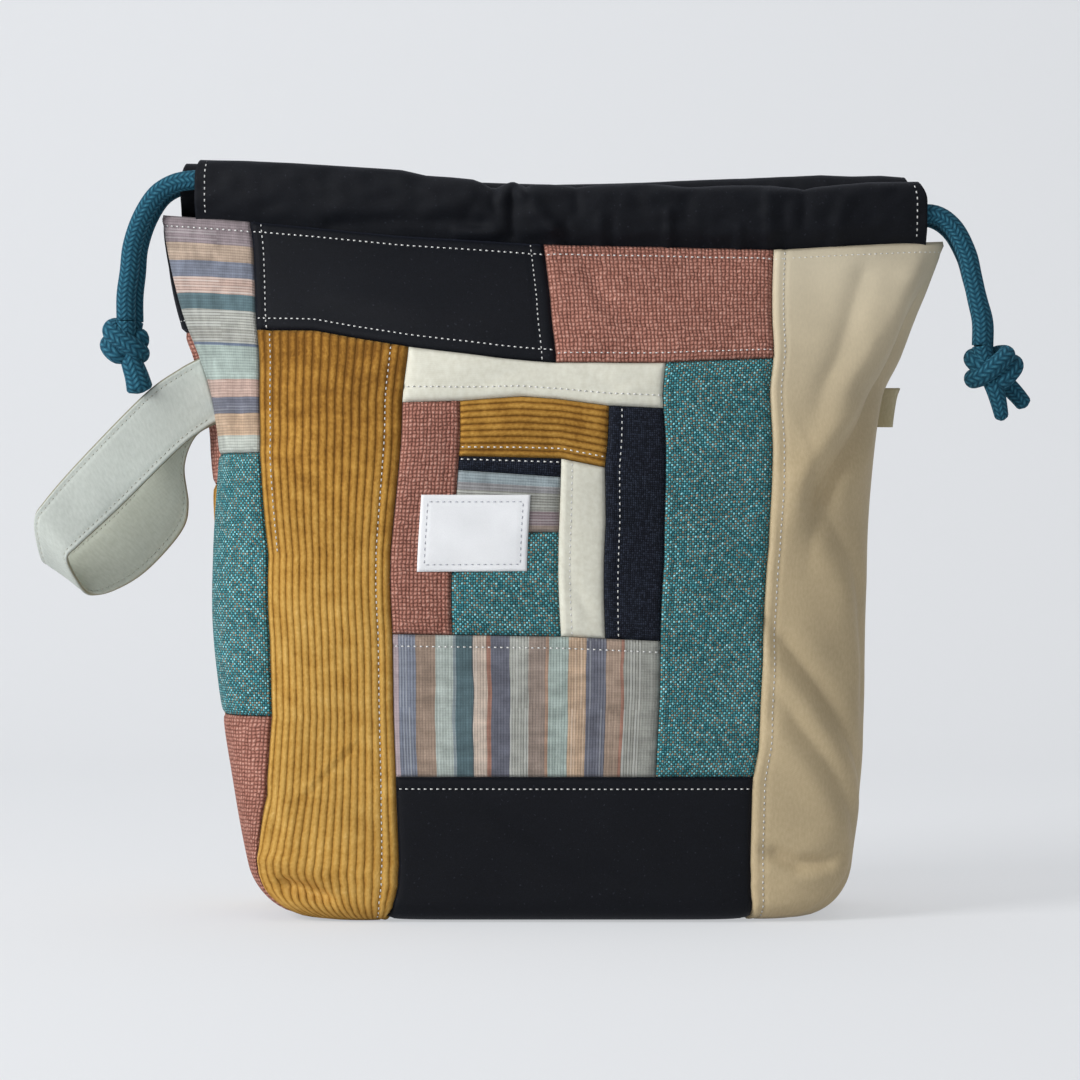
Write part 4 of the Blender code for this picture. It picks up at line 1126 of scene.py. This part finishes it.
# Folds of the casings: line in millimetres along the bag and up from the sewn edge, how far
# the cloth stands out there, and how wide the fold is.
FRONT_GATHERS = [
    ([(-19.6, 24), (-19.6, 4)], -2.6, 2.4), ([(-25, 17), (-20.5, 24.4)], 1.6, 2.6),
    ([(-15, 22), (-9, 14), (-3, 7)], 2.4, 3.2), ([(-28, 24), (-27, 14)], -1.4, 2.4),
    ([(-13, 25), (-12, 18)], -1.0, 2.0), ([(-52, 16), (-37, 17)], 2.0, 5.0),
    ([(-100, 3), (-69, 6), (-33, 8)], -1.8, 3.4), ([(-44, 2.2), (-27, 3)], 1.9, 2.4),
    ([(-33, 22), (-40, 9)], -1.0, 3.0), ([(-1, 7), (-1, -2)], 0.9, 1.6), ([(4, 9), (5, -2)], -0.9, 1.8),
    ([(8.8, 26), (9.5, 15)], -1.0, 2.4), ([(19.4, 12), (19.4, -2)], 0.9, 1.7),
    ([(25, 12), (25, -2)], -0.8, 2.0), ([(35, 22), (40, 6)], -0.6, 4.0),
    ([(49.6, 14), (49.6, -1)], 1.6, 1.8), ([(59, 26), (57, 12)], -1.1, 3.6),
    ([(66, 12), (66, -2)], -0.7, 2.6), ([(81, 8), (81, -1)], 1.4, 2.0), ([(94, 25), (94, 1)], 1.4, 2.6),
    ([(101, 20), (101, 0)], -0.7, 2.6), ([(110, 26), (109, 10)], -1.3, 3.0),
    ([(128, 20), (124, 2)], 1.2, 3.4), ([(-130, 4), (-112, 8), (-100, 22)], -0.6, 5.0),
    ([(-80, 22), (-62, 12)], -0.6, 4.0)]
BACK_GATHERS = [([(x, 28), (x + lean, 2)], out, width) for x, lean, out, width in (
    (-128, 3, -0.9, 4), (-96, -4, 0.8, 6), (-70, 2, -1.2, 3), (-44, 5, 1.0, 5), (-22, 0, -1.6, 3),
    (2, 4, 1.2, 4), (16, -2, -1.2, 2.8), (31, 3, 1.2, 4), (48, 0, -1.0, 3), (72, -5, 0.8, 6),
    (100, 2, -1.1, 4), (128, 0, 0.7, 6))]
casing_forms = {"front": (-1, FRONT_GATHERS, front_top, (-0.1612, 0.1655)),
                "back": (1, BACK_GATHERS, top_edge(BACK_TOP), (-0.1690, 0.1612))}
SECTION = [(-0.3, -SKIRT * 1000), (-0.3, -1.0), (-1.4, 1.2), (-3.8, 4.6), (-5.5, 9.2), (-5.9, 14.6),
           (-5.5, 20.0), (-4.4, 23.4), (-2.4, 25.9), (0.0, CASING_RISE)]
SECTION += [(-out, up) for out, up in reversed(SECTION[:-1])]
wrinkles = (soft_noise(31, 19.0, 34.0) + 0.7 * soft_noise(32, 9.0, 50.0))[:, :, None]
WRINKLE_DEPTH, INNER_SHARE = 0.42, 0.2


def casing_places(name, s, t, extra=0.0):
    """Points of a casing: s runs along the bag, and t round the strip from the edge sewn
    outside, over the top, to the edge sewn inside."""
    side, gathers, top, (left, right) = casing_forms[name]
    t = t if side < 0 else 1 - t
    fine = smooth_path([(out, up, 0.0) for out, up in SECTION], 0.4)
    place = np.linspace(0, 1, len(fine))
    out, up = np.interp(t, place, fine[:, 0]), np.interp(t, place, fine[:, 1])
    x = left + (right - left) * s
    rounded = np.clip((up - 18) / 9, 0, 1)**2
    x = x + (0.0022 * np.exp(-s * 60) - 0.0040 * np.exp(-(1 - s) * 60)) * rounded
    y_mid, base = np.interp(x, STOPS, TUNNEL_Y), np.interp(x, STOPS, TUNNEL_Z)
    stretch = (top(x) - base) * 1000 / CASING_RISE
    up = np.where(up > 0, up * stretch, up)
    for line, depth, width in gathers:
        away = distance_to(line, x * 1000, up)[0]
        fade = np.clip((up + 4) / 4, 0, 1) * np.clip((26 * stretch - up) / 3 + 0.25, 0, 1)
        share = np.where(out * side > 0, 1.0, INNER_SHARE)
        out = out + side * depth * np.exp(-((away / width) ** 2)) * fade * share
    ruffle = read(wrinkles, x * 1000 + 175, np.clip(up, 0, 30) * 5 + 60)[:, 0]
    out = out + side * WRINKLE_DEPTH * ruffle * np.clip(up / 5, 0, 1)
    outwards = np.sign(np.where(out == 0, side, out))
    y = side * y_mid + (out + outwards * extra) / 1000
    y = np.where(side * y > 0.0003, y, side * 0.0003)
    return np.column_stack([x, y, base + up / 1000])


girth = float(lengths_along(casing_places("front", np.full(60, 0.5), np.linspace(0, 1, 60)))[-1])
for name, (side, _, _, (left, right)) in casing_forms.items():
    length = right - left
    piece = shaped_grid(name + "_casing_cloth", CASING_ALONG, CASING_ROUND, lambda s, t: (
        casing_places(name, s, t), np.column_stack([s * length, t * girth])), cloths["navy"][0])
    thicken(piece, CASING_CLOTH, -side)
    dress(piece, "bag", "casing", name + "_casing")
    t = np.linspace(0.10, 0.50, 120) if name == "front" else 1 - np.linspace(0.50, 0.90, 120)
    rows = [stitch_ends(casing_places(name, np.full(120, s), t, HEM_LIFT))
            for s in (HEM / length, 1 - HEM / length)]
    sew(name + "_hem_stitches", rows, white_thread, "label")


# Lining: a plain cotton bag inside the shell, sewn in at the rim under the casings.
LINING_CLEAR, LINING_CLOTH = 0.0009, 0.0006
lining_cotton = plain_weave("lining_cotton", 0.88, 0.1, 0.0005, 1.3, (184, 180, 166), (210, 206, 194),
                            0.00015, 0.5)
lining_form = form_table(-LINING_CLEAR, 0.7)
lining_normals = normals_of(lining_form)
lining_relief = (soft_noise(21, 60.0, 90.0) * 0.9 + soft_noise(22, 25.0, 60.0) * 0.4)[:, :, None]
LINING_ROUND, LINING_BASE, LINING_UP = 170, 8, 60


def lining_places(s, t):
    """s runs once round the mouth, and t from the seam under the middle up to the rim."""
    share = 1 - np.abs(1 - 2 * s)
    u = PANEL * (share + 0.06 * np.sin(2 * math.pi * share) / math.pi)
    front = s < 0.5
    row = np.rint(t * (LINING_BASE + LINING_UP))
    height = np.clip((row - LINING_BASE) / LINING_UP, 0, 1)**1.25
    z = (rim_line(u) - SKIRT * 1000 - 2.4) * height
    place, normal = read(lining_form, u, z), read(lining_normals, u, z)
    inward = np.maximum(0.2, 1.2 + read(lining_relief, u, z)[:, 0])
    inward = inward * np.clip(u / 12, 0, 1) * np.clip((PANEL - u) / 12, 0, 1) / 1000
    x = place[:, 0] - normal[:, 0] * inward
    y = np.minimum(place[:, 1] - normal[:, 1] * inward, 0) * np.clip(row / LINING_BASE, 0, 1)
    lift = z / 1000 + CLOTH + 0.0009 * np.clip(1 - z / 22, 0, 1)
    places = np.column_stack([x, np.where(front, y, -y), lift])
    return places, np.column_stack([u / 1000 + (~front) * 0.4, z / 1000 + y])


lining = shaped_grid("lining_cloth", 2 * LINING_ROUND, LINING_BASE + LINING_UP, lining_places,
                     lining_cotton, closed=True)
thicken(lining, LINING_CLOTH)
dress(lining, "bag", "lining", "lining")


# Wrist strap: a band of sage twill, sewn along both edges and folded to a loop, with both ends
# caught in the left side seam. Stations: lower edge x, z, upper edge x, z, then y.
STRAP_STATIONS = np.array([
    (-151.6, 219.6, -159.6, 248.2, -1.2), (-158.5, 215.4, -169.5, 242.8, -1.8),
    (-170.1, 206.0, -185.0, 231.3, -3.6), (-195.3, 180.4, -213.3, 201.6, -8.0),
    (-213.3, 163.3, -228.5, 183.5, -11.0), (-218.3, 157.6, -233.2, 175.2, -9.5),
    (-215.0, 147.5, -232.5, 160.5, 0.0), (-210.6, 141.3, -230.4, 156.4, 9.5),
    (-200.5, 143.0, -223.0, 161.0, 12.5), (-185.9, 152.0, -207.0, 175.0, 14.0),
    (-170.1, 169.6, -191.8, 190.6, 13.5), (-166.5, 182.0, -186.5, 203.0, 11.5),
    (-168.0, 199.0, -180.5, 220.5, 8.0), (-162.5, 212.6, -171.5, 236.6, 3.8),
    (-151.6, 219.1, -159.6, 247.7, 1.2)])
STRAP_WIDTH = 0.028
low_path = smooth_path(STRAP_STATIONS[:, (0, 4, 1)] / 1000, 0.0016)
high_path = smooth_path(STRAP_STATIONS[:, (2, 4, 3)] / 1000, 0.0016)
strap_steps = max(len(low_path), len(high_path)) - 1
even = np.linspace(0, 1, strap_steps + 1)
low_path, high_path = [np.column_stack([np.interp(even, np.linspace(0, 1, len(path)), path[:, k])
                                        for k in range(3)]) for path in (low_path, high_path)]
strap_length = float(lengths_along((low_path + high_path) / 2)[-1])
strap_out = np.cross(np.gradient((low_path + high_path) / 2, axis=0), high_path - low_path)
strap_out /= np.linalg.norm(strap_out, axis=1)[:, None]
strap_wave = (np.sin(even * 17) * 0.6 + np.sin(even * 41) * 0.22) / 1000


def strap_half(q):
    """Half the band's thickness across it: rounded at the edges, pressed in at the stitches."""
    edge = np.minimum(q, 1 - q)
    half = 1.1 * np.sqrt(np.clip(1 - (1 - np.clip(edge / 0.045, 0, 1)) ** 2, 0, 1))
    return half - 0.42 * np.exp(-(((edge - 0.10) / 0.025) ** 2)) * (edge > 0.02)


def on_strap(k, q, out):
    """Points of the band at step k and share q of its width, some millimetres off its middle."""
    bow = strap_wave[k] * np.sin(q * math.pi)
    place = low_path[k] + (high_path[k] - low_path[k]) * np.reshape(q, (-1, 1))
    return place + strap_out[k] * np.reshape(out / 1000 + bow, (-1, 1))


def strap_places(s, t):
    """s runs round the flat band from its lower edge and back, and t along it."""
    row = np.rint(t * (strap_steps + 2))
    k = np.clip(row - 1, 0, strap_steps).astype(int)
    q = (1 - np.cos(math.pi * (1 - np.abs(1 - 2 * s)))) / 2
    q = 0.5 * q + 0.5 * (1 - np.abs(1 - 2 * s))
    ends = (row > 0) & (row < strap_steps + 2)
    out = strap_half(q) * np.where(s < 0.5, 1, -1) * ends
    return on_strap(k, q, out), np.column_stack([k / strap_steps * strap_length, q * STRAP_WIDTH + (s > 0.5)])


def sage_twill():
    """Sage outside, more silvery inside the loop, with painted olive shade along both edges."""
    cloth = Cloth("sage_twill", 0.62, 0.12, (200, 205, 195), 0.25)
    across = cloth.v.op("FRACT") / STRAP_WIDTH
    slant = ((cloth.u + cloth.v * 0.7) / 0.0006).wave()
    grain = cloth.noise(0.0011, 3.0, cloth.u, cloth.v * 0.4)
    value = slant * 0.5 + grain * 0.6
    sage = cloth.shade(value, 0.2, 1.0, (172, 176, 160), (206, 209, 197))
    silver = cloth.shade(value, 0.2, 1.0, (176, 182, 174), (210, 215, 208))
    tone = cloth.mix(cloth.v.op("GREATER_THAN", 0.5), sage, silver)
    # Painted shade: both edges of the band go dark olive, like its thick edge in shadow.
    edge = (across - 0.5).op("ABSOLUTE") * 2
    tone = cloth.mix(cloth.limit(edge, 0.955, 0.985, 0.0, 0.75), tone, colour(128, 120, 90))
    return cloth.finish(tone, slant * 0.5 + grain * 0.5, 0.00012, 0.5)


strap = shaped_grid("wrist_strap_band", 44, strap_steps + 2, strap_places, sage_twill(), closed=True)
dress(strap, "bag", "strap", "wrist_strap")
rows = []
for turned in (1, -1):
    for q in (0.10, 0.90):
        out = turned * (float(strap_half(q)) + 0.10)
        rows.append(stitch_ends(np.vstack([on_strap(k, q, out) for k in range(3, strap_steps - 2)])))
sew("strap_stitches", rows, twisted_thread("sage_thread", colour(202, 202, 188)), "strap", 0.0002)


# Side tab: a short ribbon folded in two, with its ends in the right side seam.
TAB_CLOTH = 0.0009
TAB_HALF = [(0.0, -1.2, 0.0), (3.0, -1.7, 0.0), (5.6, -1.8, 0.0), (6.8, -1.0, 0.0)]
TAB_FOLD = smooth_path(TAB_HALF + [(7.2, 0.0, 0.0)] + [(out, -y, 0.0) for out, y, _ in TAB_HALF[::-1]],
                       0.6) / 1000
tab_low, tab_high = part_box("side_tab")


def tab_places(s, t):
    place = s * (len(TAB_FOLD) - 1)
    out, y = [np.interp(place, np.arange(len(TAB_FOLD)), TAB_FOLD[:, k]) for k in (0, 1)]
    z = tab_low[2] + 0.0004 + (tab_high[2] - tab_low[2] - 0.0008) * t
    side = read(shell_form, np.full(len(z), PANEL), (z - CLOTH) * 1000)[:, 0]
    return np.column_stack([side + 0.0009 + out, y, z]), np.column_stack([s * 0.018, z])


tab_ribbon = satin("tab_ribbon", (150, 137, 98), (190, 178, 142))
tab = shaped_grid("side_tab_ribbon", 26, 16, tab_places, tab_ribbon)
thicken(tab, TAB_CLOTH, 0.0)
dress(tab, "bag", "tab", "side_tab")


# Floor, backdrop and lights: a pale sheet that curves up behind, a large window-like lamp from
# the left and front, and two weak fills.
def floor_places(s, t):
    bend = np.clip((t - 0.35) / 0.35, 0, 1) * math.pi / 2
    y = -3.0 + np.clip(t / 0.35, 0, 1) * 3.9 + 0.6 * np.sin(bend)
    z = 0.6 - 0.6 * np.cos(bend) + np.clip((t - 0.7) / 0.3, 0, 1) * 2.6
    return np.column_stack([s * 8 - 4, y, z]), np.column_stack([s, t])


def pale_paper():
    """Paper that takes the bag's shadow; seen by the camera, in gloss or through a gap it is
    paler than the light alone makes it, and from behind it is left out, so the back shows too."""
    paper = Cloth("pale_paper", 0.95, specular=0.1)
    paper.surface.inputs["Base Color"].default_value = colour(224, 226, 229)
    rays = [paper.node("LightPath", {}, "Is " + ray + " Ray") for ray in ("Camera", "Glossy", "Transmission")]
    seen = rays[0].op("MAXIMUM", rays[1]).op("MAXIMUM", rays[2])
    glow = paper.node("Emission", {"Color": colour(238, 240, 243), "Strength": 1.0})
    shown = paper.node("MixShader", {0: seen * 0.55, 1: Wire(paper, paper.surface.outputs[0]), 2: glow})
    behind = paper.node("NewGeometry", {}, "Backfacing")
    clear = paper.node("BsdfTransparent", {})
    shown = paper.node("MixShader", {0: behind, 1: shown, 2: clear})
    output = paper.tree.nodes["Material Output"]
    paper.tree.links.new(shown.socket, output.inputs["Surface"])
    return paper.material


floor = shaped_grid("floor", 2, 40, floor_places, pale_paper())
floor.select_set(False)

# Name, place, size in metres and power in watts of each lamp.
LAMPS = [("window_lamp", (-1.85, -1.2, 1.15), 1.0, 50), ("front_fill", (1.3, -2.0, 0.9), 1.8, 4),
         ("top_lamp", (0.0, 0.3, 1.9), 1.6, 8)]
for name, place, size, power in LAMPS:
    lamp_data = bpy.data.lights.new(name, "AREA")
    lamp_data.shape = "SQUARE"
    lamp_data.size = size
    lamp_data.energy = power
    lamp = bpy.data.objects.new(name, lamp_data)
    lamp.location = place
    across, ahead, down = -place[0], -place[1], place[2] - 0.15
    lamp.rotation_euler = (math.atan2(math.hypot(across, ahead), down), 0.0, math.atan2(-across, ahead))
    bpy.context.scene.collection.objects.link(lamp)

world = bpy.data.worlds.new("studio")
world.use_nodes = True
world.node_tree.nodes["Background"].inputs["Color"].default_value = colour(234, 237, 242)
world.node_tree.nodes["Background"].inputs["Strength"].default_value = 0.32
bpy.context.scene.world = world
bpy.context.scene.view_settings.view_transform = "Standard"

bpy.data.objects.remove(one_stitch)
